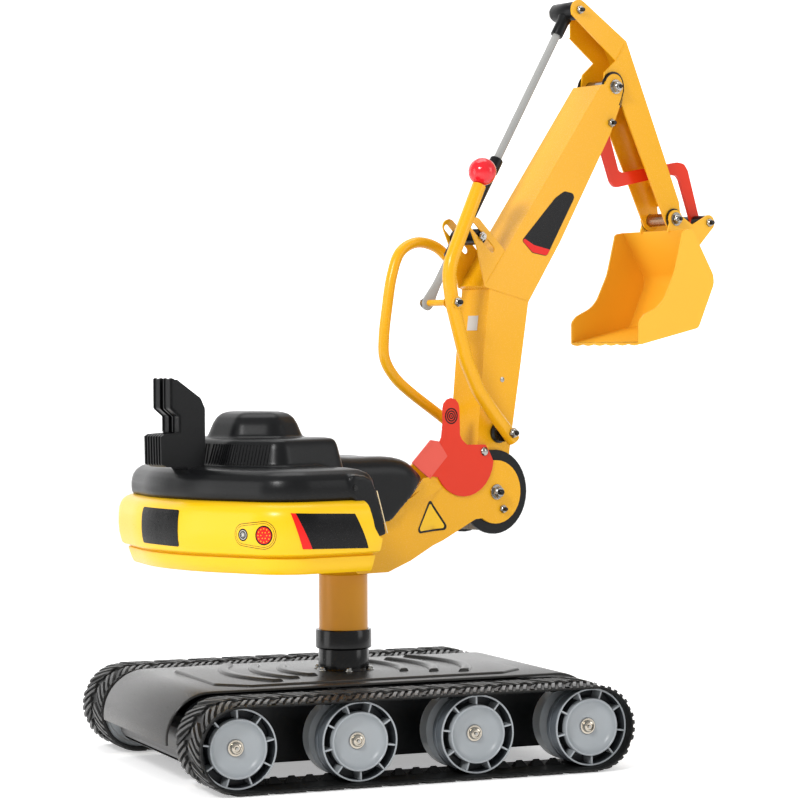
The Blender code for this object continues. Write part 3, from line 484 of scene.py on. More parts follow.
# ================================================================== cover, frame, column foot
g = Mesh()
out = arc((WHEEL_X[-1] + 1, WHEEL_Z), 49.5, -6, 90, 22) + arc((WHEEL_X[0] - 1, WHEEL_Z), 49.5, 90, 186, 22)
inn = list(reversed(arc((WHEEL_X[-1] + 1, WHEEL_Z), 46.9, -6, 90, 22) + arc((WHEEL_X[0] - 1, WHEEL_Z), 46.9, 90, 186, 22)))
ends = []
for y, d in ((-116.0, 1.6), (-115.2, 0.5), (-113.6, 0.0), (113.6, 0.0), (115.2, 0.5), (116.0, 1.6)):
    ring = [(x - math.copysign(0, x), y, z - d) if abs(x) < 190 else
            ((x - (x - math.copysign(206, x)) * d / 49.5), y, WHEEL_Z + (z - WHEEL_Z) * (1 - d / 49.5)) for x, z in out]
    ring += [(x, y, z) for x, z in inn]
    ends.append(ring)
g.grid(ends, wrap_v=True)
g.face(ends[0])
g.face(list(reversed(ends[-1])))
piece("cover_shell", g.make("cover_shell", ROOT), "undercarriage", NOSE, ("chassis_cover",), 30)

g = Mesh()


def embossed(outline, h, inset, m=0, base=96.8):
    """A low raised field on the cover with sloping, rounded sides."""
    rings = [(outline, base), (outline, base + 0.25), (offset(outline, -inset * 0.35), base + h * 0.7),
             (offset(outline, -inset * 0.7), base + h * 0.93), (offset(outline, -inset), base + h)]
    rows = [[(x, y, z) for x, y in o] for o, z in rings]
    g.grid(rows, wrap_v=True, m=m)
    g.face(list(reversed(rows[-1])), m)


field = fillet([(-176, -70), (-146, -100), (150, -100), (183, -74), (183, 74), (150, 100), (-146, 100), (-176, 70)], 9, 6)
embossed(field, 2.6, 3.4)


def bar(xc, half, bow, w):
    """A curved raised bar across the cover, bowed away from the column."""
    line = [(xc - bow * (t * t), half * t) for t in [k / 12 - 1 for k in range(25)]]
    up = [(x + w / 2, y) for x, y in line]
    dn = [(x - w / 2, y) for x, y in reversed(line)]
    return fillet(up + dn, 0)


for xc, half, bow, w in ((-134, 84, -26, 13), (-99, 66, -17, 12), (-68, 50, -13, 11), (62, 50, 10, 11), (97, 66, 16, 12),
                         (137, 80, 26, 13)):
    o = bar(xc, half, bow, w)
    embossed(o if area(o) > 0 else list(reversed(o)), 3.4, 3.0, base=99.2)
piece("cover_embossing", g.make("cover_embossing", ROOT), "undercarriage", NOSE, (), 50)
paint("chassis_frame", BLACK)
paint("post", ZINC)

g = Mesh()
g.spin((0, 0, 0), [(21.6, 97.2), (33.5, 97.2), (34, 98.6), (30, 99.6), (28.2, 101.5), (28.0, 122.0), (27.4, 123.2), (21.6, 123.2)], 64, "Z")
piece("foot_sleeve", g.make("foot_sleeve", ROOT), "undercarriage", BLACK_GLOSS, ("collar_sleeve",), 28)
g = Mesh()
g.spin((0, 0, 0), [(14.6, 123.6), (30.2, 123.6), (31.2, 124.6), (31.2, 143.2), (30.6, 144.4), (27.7, 144.4), (27.7, 141), (14.6, 141)], 64, "Z")
piece("foot_ring", g.make("foot_ring", ROOT), "undercarriage", BLACK_GLOSS, ("collar_ring",), 28)
g = Mesh()
for k in range(6):
    a = math.radians(20 + 60 * k)
    x, y = 30.6 * math.cos(a), 30.6 * math.sin(a)
    g.spin((x, y, 0), [(0, 99.0), (4.2, 99.0), (4.4, 99.8), (4.2, 100.4), (3.4, 100.5), (3.2, 102.6), (2.4, 103.6), (0, 104.0)], 14, "Z")
piece("foot_bolts", g.make("foot_bolts", ROOT), "undercarriage", ZINC, (), 30)

# ================================================================== deck: yellow tub
g = Mesh()
g.spin((0, 0, 0), [(24.5, 141.5), (27.2, 141.5), (27.2, 210.4), (24.5, 210.4)], 72, "Z")
g.spin((0, 0, 0), [(27.2, 205.2), (29.2, 206.6), (30.4, 208.4), (30.6, 210.6), (27.2, 210.7)], 72, "Z")
# the column takes the darker copy of the yellow: painted shade under the deck
piece("column_skin", g.make("column_skin"), "upper_deck", COLUMN_YELLOW_SHADED, ("column_tube",), 30)

PLAN = mirror_x([(-80, 156), (-186, 147), (-222, 40)])
PLAN_R = [3, 45, 200, 200, 45, 3]
PROFILE = [(222.0, -1.0), (222.0, 1.0), (223.2, 2.6), (230, 5.4), (237.4, 7.9), (238.8, 7.8), (239.6, 5.6), (240.6, 5.2), (241.4, 7.0),
           (242.3, 12.2), (243.6, 14.6), (248, 16.2), (256, 18.0), (265, 18.8), (276, 18.6), (283, 17.8), (288, 16.2),
           (292, 13.4), (294.8, 9.6), (296.4, 5.6), (297.0, 2.5)]


def plan(d, n=10):
    return fillet(offset(PLAN, d), [max(2, r + d) for r in PLAN_R], n)


def prof(z):
    for (z0, d0), (z1, d1) in zip(PROFILE, PROFILE[1:]):
        if z0 <= z <= z1 and z1 > z0:
            return d0 + (d1 - d0) * (z - z0) / (z1 - z0)
    return 18.0


def at_angle(theta, d):
    """Where a line from the deck's middle at this angle meets the outline offset by d."""
    poly = plan(d, 14)
    o = Vector((-120.0, 0.0))
    v = Vector((math.cos(math.radians(theta)), math.sin(math.radians(theta))))
    best = None
    for i in range(len(poly)):
        p, q = Vector(poly[i - 1]), Vector(poly[i])
        e = q - p
        den = v[0] * e[1] - v[1] * e[0]
        if abs(den) < 1e-9:
            continue
        w = p - o
        t = (w[0] * e[1] - w[1] * e[0]) / den
        k = (w[0] * v[1] - w[1] * v[0]) / den
        if t > 0 and -1e-6 <= k <= 1 + 1e-6 and (best is None or t > best):
            best = t
    return o + v * (best or 100.0)


def resample(poly, n=120):
    """The outline as n points at even steps, starting at the front."""
    pts = [Vector(p) for p in poly]
    lens = [(pts[(i + 1) % len(pts)] - pts[i]).length for i in range(len(pts))]
    total, out, i, acc = sum(lens), [], 0, 0.0
    for k in range(n):
        want = total * k / n
        while acc + lens[i] < want:
            acc += lens[i]
            i += 1
        f = (want - acc) / max(lens[i], 1e-9)
        out.append(pts[i].lerp(pts[(i + 1) % len(pts)], f))
    return out


# the tub is an open band from its front left corner round the back to its front right corner
NTH = 150
th0, th1 = 76.5, 283.5


def col(theta, z, d):
    p = at_angle(theta, d)
    return Vector((p[0], p[1], z))


def tub_rows(lift_in):
    out = []
    for k in range(NTH + 1):
        th = th0 + (th1 - th0) * k / NTH
        out.append([col(th, z, d - lift_in) for z, d in PROFILE])
    return out


outer, inner = tub_rows(0.0), tub_rows(3.0)
me_rows = []
for o, n in zip(outer, inner):
    me_rows.append(o + list(reversed(n)))
g = Mesh()
g.grid(me_rows, wrap_v=True)
g.face(me_rows[0])
g.face(list(reversed(me_rows[-1])))
# floor of the tub, with the column and the fork coming through
tub = piece("tub", g.make("tub"), "upper_deck", DECK_YELLOW, ("turret_shell",), 34)


def cutter(name, me):
    c = bpy.data.objects.new(name, me)
    bpy.context.scene.collection.objects.link(c)
    return c


def boolean_now(obj, cut_mesh, op="DIFFERENCE"):
    """Cuts the object's mesh with another mesh and keeps only the result."""
    tmp = bpy.data.objects.new("tmp_cut", cut_mesh)
    bpy.context.scene.collection.objects.link(tmp)
    m = obj.modifiers.new("cut", "BOOLEAN")
    m.operation, m.object, m.solver = op, tmp, "EXACT"
    bpy.context.view_layer.update()
    deps = bpy.context.evaluated_depsgraph_get()
    new = bpy.data.meshes.new_from_object(obj.evaluated_get(deps))
    obj.modifiers.remove(m)
    obj.data = new
    bpy.data.objects.remove(tmp, do_unlink=True)
    new.shade_smooth()
    new.set_sharp_from_angle(angle=math.radians(34))


for s in (-1, 1):
    c = Mesh()
    notch = fillet([(-93, 320), (-93, 286), (-89, 268), (-82, 257.5), (0, 254.5), (0, 320)], [0, 8, 14, 5, 0, 0], 6)
    c.prism(notch, s * 120, s * 230)
    boolean_now(tub, c.make("notch"))
    c = Mesh()
    c.prism([(-74.5, 200), (-68.5, 246), (-62, 262), (0, 330), (0, 200)], s * 120, s * 230)
    boolean_now(tub, c.make("front_trim"))


# the tub's floor
g = Mesh()
floor_o = plan(-1.0, 6)
g.prism(floor_o, 222.3, 225.3, 0, True)
floor = piece("tub_floor", g.make("tub_floor"), "upper_deck", DECK_YELLOW, (), 34)
c = Mesh()
c.box((-140, 60), (-48, 48), (200, 300))
boolean_now(floor, c.make("slot"))

# ------------------------------------------------------------------ stickers and lamps on the tub
def patch(name, outline, lift, material, holes=(), cuts=5, thick=0.25):
    """A thin patch on the tub: the outline is in degrees round the deck and height."""
    cu = bpy.data.curves.new(name, "CURVE")
    cu.dimensions = "2D"
    cu.fill_mode = "BOTH"
    for loop in [outline, *holes]:
        sp = cu.splines.new("POLY")
        sp.points.add(len(loop) - 1)
        for p, q in zip(sp.points, loop):
            p.co = (q[0], q[1], 0, 1)
        sp.use_cyclic_u = True
    tmp = bpy.data.objects.new(name, cu)
    bpy.context.scene.collection.objects.link(tmp)
    bpy.context.view_layer.update()
    me = bpy.data.meshes.new_from_object(tmp.evaluated_get(bpy.context.evaluated_depsgraph_get()))
    bpy.data.objects.remove(tmp, do_unlink=True)
    bm = bmesh.new()
    bm.from_mesh(me)
    bmesh.ops.remove_doubles(bm, verts=bm.verts, dist=1e-5)
    for _ in range(8):
        long = [e for e in bm.edges if abs(e.verts[0].co.x - e.verts[1].co.x) > 1.6 or abs(e.verts[0].co.y - e.verts[1].co.y) > 5]
        if not long:
            break
        bmesh.ops.subdivide_edges(bm, edges=long, cuts=1)
        bmesh.ops.triangulate(bm, faces=[f for f in bm.faces if len(f.verts) > 4])
    for v in bm.verts:
        th, z = v.co.x, v.co.y
        p = at_angle(th, prof(z) + lift)
        v.co = DECK @ Vector((p[0], p[1], z))
    bmesh.ops.recalc_face_normals(bm, faces=bm.faces)
    bm.to_mesh(me)
    bm.free()
    obj = piece(name, me, "upper_deck", material, (), 40)
    return obj


def tround(poly, r_mm, n=5, k=3.3):
    """Rounds corners in degree-height space, where one degree is about k millimetres."""
    q = fillet([(a * k, z) for a, z in poly], r_mm, n)
    return [(a / k, z) for a, z in q]


patch("rear_sticker", tround([(160.4, 287.6), (160.0, 249.0), (193.7, 248.2), (194.4, 287.0)], 2.2, k=2.1), 0.4, STICKER)
patch("side_sticker", [(-110.9, 286.6), (-87.6, 284.0), (-81.8, 247.4), (-104.8, 249.2)], 0.35, STICKER)
patch("side_sticker_red", [(-112.6, 286.8), (-110.9, 286.6), (-104.8, 249.2), (-108.4, 249.3)], 0.45, STICKER_RED)


def tcircle(th, z, r, n=36, k=3.38):
    return [(th + r / k * math.cos(2 * math.pi * i / n), z + r * math.sin(2 * math.pi * i / n)) for i in range(n)]


def teardrop(r1, r2, n=18):
    c1, c2, k = -129.74, -121.9, 3.38
    L = (c2 - c1) * k
    ang = math.acos((r1 - r2) / L)
    pts = [((c1 * k + r1 * math.cos(a)) / k, 263.9 + r1 * math.sin(a)) for a in
           [ang + (2 * math.pi - 2 * ang) * i / n for i in range(n + 1)]]
    pts += [((c2 * k + r2 * math.cos(a)) / k, 263.9 + r2 * math.sin(a)) for a in [-ang + 2 * ang * i / n for i in range(n + 1)]]
    return pts


patch("lamp_edge", teardrop(11.7, 14.6), 0.30, STICKER)
patch("lamp_field", teardrop(11.1, 14.0), 0.42, STICKER_YELLOW)
patch("lamp_line", teardrop(9.6, 12.6), 0.50, STICKER)
patch("lamp_field_2", teardrop(9.1, 12.1), 0.58, STICKER_YELLOW)
patch("lamp_small", tcircle(-129.74, 263.9, 6.5), 0.75, STICKER)
patch("lamp_small_ring", tcircle(-129.74, 263.9, 4.9), 0.9, STICKER_GREY, [tcircle(-129.74, 263.9, 4.2)])
for k in range(4):
    a = math.pi * k / 4
    w = [(-3.0, -0.35), (3.0, -0.35), (3.0, 0.35), (-3.0, 0.35)]
    patch("lamp_small_ray_%d" % k, [(-129.74 + (x * math.cos(a) - y * math.sin(a)) / 3.38, 263.9 + x * math.sin(a) + y * math.cos(a))
                                    for x, y in w], 0.95, STICKER_GREY)
patch("lamp_large", tcircle(-121.9, 263.9, 10.2), 0.75, STICKER)
patch("lamp_large_red", tcircle(-121.9, 263.9, 8.7), 0.9, STICKER_RED)
for k in range(18):
    r, nn, o = ((6.9, 12, 0), (3.4, 6, 12))[k >= 12]
    a = 2 * math.pi * (k - o) / nn
    patch("lamp_dot_%d" % k, tcircle(-121.9 + r * math.cos(a) / 3.38, 263.9 + r * math.sin(a), 0.62, 8), 1.05, STICKER_YELLOW)

# ================================================================== deck: black seat moulding
R2, R3 = [14, 24, 40, 40, 24, 14], [16, 26, 22, 22, 26, 16]
TIER2 = mirror_x([(-56, 82), (-150, 92), (-182, 36)])
TIER3 = mirror_x([(-84, 46), (-128, 58), (-165, 26)])


def tier(poly, d, radii, n=8):
    return fillet(offset(poly, d), [max(2, r + d) for r in radii], n)


def loft(mesh, rings):
    rows = [[(p[0], p[1], z) for p in pts] for pts, z in rings]
    mesh.grid(rows, wrap_v=True)
    mesh.face(rows[0])
    mesh.face(list(reversed(rows[-1])))


g = Mesh()
loft(g, [(plan(-4.0), 292.5), (plan(-1.6), 295.5), (plan(2.4), 297.4), (plan(3.6), 299.5), (plan(4.4), 305), (plan(4.2), 312), (plan(2.4), 319), (plan(-1.6), 324.5), (plan(-8), 328.6),
         (plan(-18), 330.6), (plan(-30), 331)])
loft(g, [(tier(TIER2, 3, R2), 322), (tier(TIER2, 0, R2), 331), (tier(TIER2, -5.4, R2), 352), (tier(TIER2, -7.5, R2), 357),
         (tier(TIER2, -11, R2), 359.6), (tier(TIER2, -18, R2), 360.8)])
loft(g, [(tier(TIER3, 4, R3), 352), (tier(TIER3, 1, R3), 361), (tier(TIER3, -5.2, R3), 376), (tier(TIER3, -9.5, R3), 382.6),
         (tier(TIER3, -15, R3), 386.8), (tier(TIER3, -22, R3), 388.8)])
# saddle: a bent sheet, open below and in front
xs = [-84, -72, -60, -45, -30, -15, 0, 15, 30, 42, 52, 60, 66, 71, 75, 78, 80, 81]
tops = {-84: 344, -72: 343.6, -60: 342.2, -45: 339.6, -30: 337.8, -15: 336.9, 0: 336.6, 15: 336.8, 30: 336.6, 42: 335.6, 52: 333.6, 60: 331,
        66: 328, 71: 324.4, 75: 320.2, 78: 315.4, 80: 310, 81: 304.6}


def saddle_rows(inset):
    rows = []
    for x in xs:
        zt = tops[x] - inset
        zb = 262.0 if x <= 26 else 262.0 + (x - 26) * 0.90
        zb = min(zb, zt - 0.5)
        hw = 50.5 - inset - (0.0 if x < 52 else 0.012 * (x - 52) ** 2)
        rad = min(19.0 - inset * 0.5, (zt - zb) * 0.9)
        sec = [(-hw, zb)]
        sec += [(-hw + rad - rad * math.cos(math.radians(t)), zt - rad + rad * math.sin(math.radians(t))) for t in range(0, 91, 15)]
        sec += [(0, zt - 0.9)]
        sec += [(-y, z) for y, z in reversed(sec[:-1])]
        rows.append([(x, y, z) for y, z in sec])
    return rows


so, si = saddle_rows(0.0), saddle_rows(3.6)
for i in range(len(so)):
    for j in (0, -1):
        si[i][j] = (si[i][j][0], si[i][j][1], so[i][j][2])
ring_rows = [o + list(reversed(n)) for o, n in zip(so, si)]
g.grid(ring_rows, wrap_v=True)
g.face(ring_rows[0])
g.face(list(reversed(ring_rows[-1])))
for s in (-1, 1):                                # the legs that hook down in front of the tub
    leg = fillet([(-108, 324), (-88, 322), (-77, 309), (-71.5, 292), (-61.8, 259.3), (-79, 256.8), (-88, 284), (-108, 300)],
                 [3, 12, 16, 30, 3, 4, 14, 4], 6)
    g.prism(leg, s * 133, s * 160.2)
seat = piece("seat_moulding", g.make("seat_moulding", weld=False), "upper_deck", BLACK, ("seat_shell",), 180)
rm = seat.modifiers.new("one skin", "REMESH")
rm.mode = "VOXEL"
rm.voxel_size = 0.0017
rm.use_smooth_shade = True
sm = seat.modifiers.new("soft", "SMOOTH")
sm.factor, sm.iterations = 0.5, 7

# louvres round the rear of the engine cover
low_ring, high_ring = tier(TIER2, -0.3, R2), tier(TIER2, -6.2, R2)
g = Mesh()
walk = [k * 0.05 for k in range(20 * 17, 20 * 36 + 1)]
done = 0.0


def ring_at(ring, u):
    i = int(u)
    return Vector(ring[i]).lerp(Vector(ring[(i + 1) % len(ring)]), u - i)


last = ring_at(low_ring, walk[0])
for u in walk:
    here = ring_at(low_ring, u)
    done += (here - last).length
    last = here
    if done < 3.35:
        continue
    done = 0.0
    e = (ring_at(low_ring, u + 0.03) - ring_at(low_ring, u - 0.03)).normalized()
    n = Vector((e[1], -e[0]))
    if n[0] > 0:
        n = -n
    top = ring_at(high_ring, u) + e * (2.2 if here[1] < 0 else -2.2)
    quads = []
    for c, z in ((here, 332.4), (top, 354.6)):
        quads.append([((c + e * w + n * h)[0], (c + e * w + n * h)[1], z) for w, h in ((-0.9, -1.4), (0.9, -1.4), (0.45, 0.95), (-0.45, 0.95))])
    g.grid(quads, wrap_v=True)
    g.face(quads[0])
    g.face(list(reversed(quads[1])))
piece("louvres", g.make("louvres"), "upper_deck", BLACK, (), 30)
# painted highlight line along the legs' front edge, and a small rivet
for s in (-1, 1):
    g = Mesh()
    g.tube([(-75.4, s * 159.9, 306), (-71.2, s * 160.2, 292), (-66.6, s * 160.2, 276.5), (-61.9, s * 160.2, 261)], 0.6, 8)
    piece("leg_edge_%s" % ("left" if s > 0 else "right"), g.make("leg_edge"), "upper_deck", EDGE_HIGHLIGHT, (), 30)
    g = Mesh()
    g.spin((-104, s * 160.5, 310), [(0, -2), (3.0, -2), (2.8, 0.6), (0, 1.0)], 16, "Y", 0, s)
    piece("lip_rivet_%s" % ("left" if s > 0 else "right"), g.make("lip_rivet"), "upper_deck", CAP, (), 30)

# ------------------------------------------------------------------ rear bracket
g = Mesh()
prof_b = fillet([(-235, 424), (-230, 424), (-200, 404), (-194.5, 393), (-194.5, 352), (-196, 324), (-213, 325), (-219, 331.2), (-247, 331.6), (-248, 365.5),
                 (-224, 366.5), (-224, 386), (-235, 395)], [3, 4, 6, 8, 6, 3, 3, 3, 5, 3, 3, 4, 4], 5)
g.prism(prof_b, -15.5, 15.5)
for y0, y1 in ((-15.9, -3.2), (3.2, 15.9)):
    strip = fillet([(-238.6, 425), (-234, 425), (-234, 395.5), (-223, 386.5), (-223, 367), (-227.4, 367), (-227.4, 384.8), (-238.6, 393.6)],
                   [2, 0, 0, 0, 0, 1, 3, 3], 4)
    g.prism(strip, y0, y1)
    edge = fillet([(-239.6, 425.6), (-236, 425.6), (-236, 394), (-225.5, 386), (-225.5, 368), (-228.6, 368), (-228.6, 384.6), (-239.6, 393.2)],
                  [2, 0, 0, 0, 0, 1, 3, 3], 4)
    g.prism(edge, y0, y0 + 1.8)
    g.prism(edge, y1 - 1.8, y1)
for k in range(7):
    y = -15.2 + k * 5.07
    g.prism(fillet([(-251, 364), (-247, 366.4), (-226, 367.6), (-226, 366), (-246, 333), (-250.4, 334)], [1, 0, 0, 0, 2, 2], 3), y - 1.1, y + 1.1)
piece("tool_bracket", g.make("tool_bracket", weld=False), "upper_deck", BLACK, ("rear_bracket",), 30, bevel=0.5)

# ================================================================== fork, guard, discs
polish("boom_fork", 0.9, YELLOW)
polish("guard", 0.35, RED, segs=2)
for side in ("right", "left"):
    polish("pivot_disc_" + side, 0.6, BLACK)
    polish("elbow_spacer_" + side, 0.25, CAP)
    polish("bucket_spacer_" + side, 0.25, CAP)
g = Mesh()
g.box((180.5, 195.5), (-25.1, 25.1), (247.5, 254.5))
for k in range(9):
    y = -22 + k * 5.5
    g.box((180.2, 195.8), (y - 1.3, y + 1.3), (247.2, 257.8))
piece("buffer", g.make("buffer", weld=False), "upper_deck", BUFFER_GREY, ("stop_buffer",), 30, bevel=0.4)


def fastener(g, at, y, s, washer=8.5, flats=13.0, nut=5.5, shank=4.0, cap=0.0, wt=1.4, turn=0.3):
    """A washer, a lock nut with its collar, the bolt's end, and on some a black cap."""
    c = (at[0], 0, at[1])
    f = flats / 2
    if washer:
        g.spin(c, [(0, y), (washer, y), (washer + 0.2, y + wt * 0.4), (washer - 0.1, y + wt), (f * 0.5, y + wt)], 36, "Y", 0, s)
    y1 = y + (wt if washer else 0)
    g.hexnut(at, flats, y1, y1 + nut * 0.68, 0, s, turn)
    g.spin(c, [(f * 0.93, y1 + nut * 0.6), (f * 0.92, y1 + nut * 0.82), (f * 0.8, y1 + nut), (f * 0.5, y1 + nut)], 30, "Y", 0, s)
    g.spin(c, [(f * 0.5, y1 + nut), (shank * 0.8, y1 + nut - 0.4), (shank * 0.8, y1 + nut + 0.8), (shank * 0.6, y1 + nut + 1.3), (0, y1 + nut + 1.3)],
           24, "Y", 0, s)
    if cap:
        g.spin(c, [(cap, y1 + nut - 0.2), (cap, y1 + nut + 2.6), (cap * 0.8, y1 + nut + 3.6), (0, y1 + nut + 3.9)], 24, "Y", 1, s)


def bolt(name, at, body, lo, hi, r, node=None, **kw):
    g = Mesh()
    g.spin((at[0], 0, at[1]), [(0, lo), (r, lo), (r, hi), (0, hi)], 20, "Y")
    fastener(g, at, -lo, -1, **kw)
    fastener(g, at, hi, 1, **kw)
    return piece(name, g.make(name, weld=False), body, [ZINC, CAP], (node,) if node else (), 30)


bolt("pivot_hardware", A, "upper_deck", -32.4, 32.4, 4.9, "pivot_bolt", washer=8.8, flats=13, nut=6.2, cap=3.2)
bolt("elbow_hardware", E, "boom", -25.2, 25.2, 4.4, "elbow_bolt", washer=8.6, flats=12.6, nut=6.0, cap=2.4, turn=0.1)
bolt("link_hardware", K, "boom", -25.2, 25.2, 2.9, "link_bolt", washer=0, flats=9.2, nut=4.6, shank=3, cap=2.6, turn=0.5)
bolt("bucket_hardware", Q, "bucket", -25.5, 25.5, 3.9, "bucket_bolt", washer=8.2, flats=11.5, nut=5.2, cap=2.4, turn=0.2)
bolt("bucket_rear_hardware", B, "bucket", -25.5, 25.5, 2.9, "bucket_rear_bolt", washer=0, flats=9.0, nut=4.4, shank=3, cap=2.8, turn=0.4)
bolt("guide_hardware", T, "rod_guide", -25.4, 25.4, 2.6, "guide_bolt", washer=0, flats=9.4, nut=3.6, shank=2.6, cap=0, turn=0.4)
for side, s in (("right", -1), ("left", 1)):
    g = Mesh()
    g.spin((STOP[0], 0, STOP[1]), [(0, 25.8), (2.9, 25.8), (2.9, 32.4), (0, 32.4)], 18, "Y", 0, s)
    fastener(g, STOP, 32.4, s, washer=0, flats=8.6, nut=3.6, shank=2.6, cap=2.3)
    piece("stop_hardware_" + side, g.make("stop", weld=False), "upper_deck", [ZINC, CAP], ("stop_bolt_" + side,), 30)
g = Mesh()
g.spin((GB[0], 0, GB[1]), [(0, 29.4), (2.9, 29.4), (2.9, 34.3), (0, 34.3)], 18, "Y", 0, -1)
g.spin((GB[0], 0, GB[1]), [(5.2, 34.3), (5.0, 35.4), (3.6, 36.6), (1.4, 37.2), (0, 37.3)], 24, "Y", 0, -1)
piece("guard_hardware", g.make("guard_hw", weld=False), "upper_deck", [ZINC], ("guard_bolt",), 40)

# stickers on the guard's tab and the fork
def flat_patch(name, outline, y, s, body, material, holes=(), lift=0.0):
    """A thin flat sticker on a cheek at |y|, facing the side s."""
    cu = bpy.data.curves.new(name, "CURVE")
    cu.dimensions = "2D"
    cu.fill_mode = "BOTH"
    cu.extrude = 0.12
    for loop in [outline, *holes]:
        sp = cu.splines.new("POLY")
        sp.points.add(len(loop) - 1)
        for p, q in zip(sp.points, loop):
            p.co = (q[0], q[1], 0, 1)
        sp.use_cyclic_u = True
    tmp = bpy.data.objects.new(name, cu)
    bpy.context.scene.collection.objects.link(tmp)
    bpy.context.view_layer.update()
    me = bpy.data.meshes.new_from_object(tmp.evaluated_get(bpy.context.evaluated_depsgraph_get()))
    bpy.data.objects.remove(tmp, do_unlink=True)
    me.transform(DECK @ Matrix.Translation((0, s * (abs(y) + 0.14 + lift), 0)) @ Matrix.Rotation(math.pi / 2, 4, "X"))
    return piece(name, me, body, material, (), 30)


RC = (128.9, 379.5)
for k, (ro, ri) in enumerate(((9.2, 7.7), (6.3, 4.9), (3.5, 2.2))):
    flat_patch("tab_ring_%d" % k, circle(RC, ro, 40), 34.2, -1, "upper_deck", STICKER, [circle(RC, ri, 40)])
flat_patch("tab_dot", circle(RC, 0.9, 16), 34.2, -1, "upper_deck", STICKER)


def flare_y(x):
    return 43.5 if x < 62 else (32.2 if x > 103 else 43.5 - (x - 62) * 11.3 / 41)


def flared(name, outline, lift, material, holes=()):
    obj = flat_patch(name, outline, 0, -1, "upper_deck", material, holes)
    me = obj.data
    inv = DECK.inverted()
    bm = bmesh.new()
    bm.from_mesh(me)
    for _ in range(3):
        bmesh.ops.subdivide_edges(bm, edges=[e for e in bm.edges if e.calc_length() > 0.006], cuts=1)
    for v in bm.verts:
        q = inv @ v.co
        q[1] = -(flare_y(q[0]) + lift) + (q[1] + 0.14)
        v.co = DECK @ q
    bm.to_mesh(me)
    bm.free()
    return obj


# the guard's folded flap: its outer skin as one thin slab
g = Mesh()
skin_out = [(123.0, -34.4, 334.0), (97.2, -34.4, 309.2), (78.0, -26.9, 327.3), (104.9, -26.9, 352.8), (112.6, -34.0, 351.0)]
g.grid([skin_out, [(x, y + 1.9, z) for x, y, z in skin_out]], wrap_v=True)
g.face(skin_out)
g.face([(x, y + 1.9, z) for x, y, z in reversed(skin_out)])
# the flap takes the lighter red: painted highlight on its upward face
piece("guard_flap", g.make("guard_flap"), "upper_deck", RED_FLAP_LIT, (), 20, bevel=0.4)
FILL = [(30, 262), (86, 310.5), (98, 311), (118, 313), (118, 300), (60, 252), (34, 252)]
filler = flared("fork_shoulder", FILL, -0.08, YELLOW)
far = filler.data.copy()
flip = DECK @ Matrix.Scale(-1, 4, (0, 1, 0)) @ DECK.inverted()
far.transform(flip)
far.flip_normals()
piece("fork_shoulder_left", far, "upper_deck", YELLOW, (), 30)
TRI = fillet([(97.5, 287), (71.8, 248.4), (126.5, 251)], 4.0, 5)
TRI2 = fillet([(97.6, 282.4), (76.0, 250.8), (121.6, 253)], 2.6, 5)
flared("sign_edge", TRI, 0.3, STICKER, [TRI2])
flared("sign_field", offset(TRI2, 0.1 if area(TRI2) > 0 else 0.1), 0.25, STICKER_YELLOW)
flared("sign_mark", circle((98.5, 262.5), 3.6, 20), 0.6, STICKER)

# ================================================================== boom
polish("boom", 1.3, YELLOW, segs=3)
BD = fillet([(243.5, 581.2), (295.8, 632.6), (310, 640.7), (328.3, 637.9), (287.1, 572.2), (282, 563.7), (259.6, 567.2)],
            [3, 14, 6, 5, 12, 6, 5], 5)
BD_RED = fillet([(244.4, 581.0), (247.8, 583.6), (262, 576.4), (287.0, 571.4), (281.6, 564.4), (259.8, 567.9)], [2, 1, 5, 1, 5, 4], 4)
for s, nm in ((-1, "right"), (1, "left")):
    flat_patch("boom_sticker_" + nm, BD, 25.0, s, "boom", STICKER)
    flat_patch("boom_sticker_red_" + nm, BD_RED, 25.0, s, "boom", STICKER_RED, (), 0.15)
# welded seam at the knee and where the bracket plates meet the boom
g = Mesh()
for s in (-1, 1):
    g.tube([(194.2, s * 25.1, 524.6), (224, s * 25.1, 517.8), (252.8, s * 25.1, 511.0)], 0.55, 8)
    g.tube([(189.4, s * 24.6, 531), (204, s * 24.6, 550.5), (217.5, s * 24.6, 568.3)], 0.9, 8)
g.tube([(252.9, -24.2, 511.0), (252.9, 24.2, 511.0)], 0.6, 8)
g.tube([(194.6, -22.5, 524.0), (194.6, 22.5, 524.0)], 0.6, 8)
piece("boom_welds", g.make("boom_welds"), "boom", YELLOW, (), 60)
# the black washer edge that shows round the elbow's cheek
g = Mesh()
g.tube(smooth_path([(E[0] + a, -24.9, E[1] + b) for a, b in ((-17, 6), (-12, 12), (-4, 15.9), (5, 14.8), (11, 9.2), (13.4, -1.5), (10.6, -12),
                                                             (6.4, -21.6))], 5), 0.75, 8)
piece("elbow_edge", g.make("elbow_edge"), "boom", CAP, (), 60)
# small hole plugs on the cheek and a blank rating plate on the back of the boom
g = Mesh()
for c, r in (((212.6, 420.0), 3.0),):
    g.spin((c[0], 0, c[1]), [(r, 24.9), (r, 25.35), (r * 0.7, 25.6), (0, 25.7)], 20, "Y", 0, -1)
piece("boom_plug", g.make("boom_plug"), "boom", ZINC, (), 40)
g = Mesh()
p0 = Vector((188.6, 0, 477.0))
d = Vector((0.1314, 0, 0.9913))
nrm = Vector((-0.9913, 0, 0.1314))
quad = [(a, b) for a, b in ((-9, 0), (9, 0), (9, 17), (-9, 17))]
lo = [tuple(p0 + Vector((0, a, 0)) + d * b + nrm * 0.1) for a, b in quad]
hi = [tuple(Vector(q) + nrm * 0.35) for q in lo]
g.grid([lo, hi], wrap_v=True)
g.face(hi)
piece("rating_plate", g.make("rating_plate"), "boom", STICKER_GREY, (), 30)

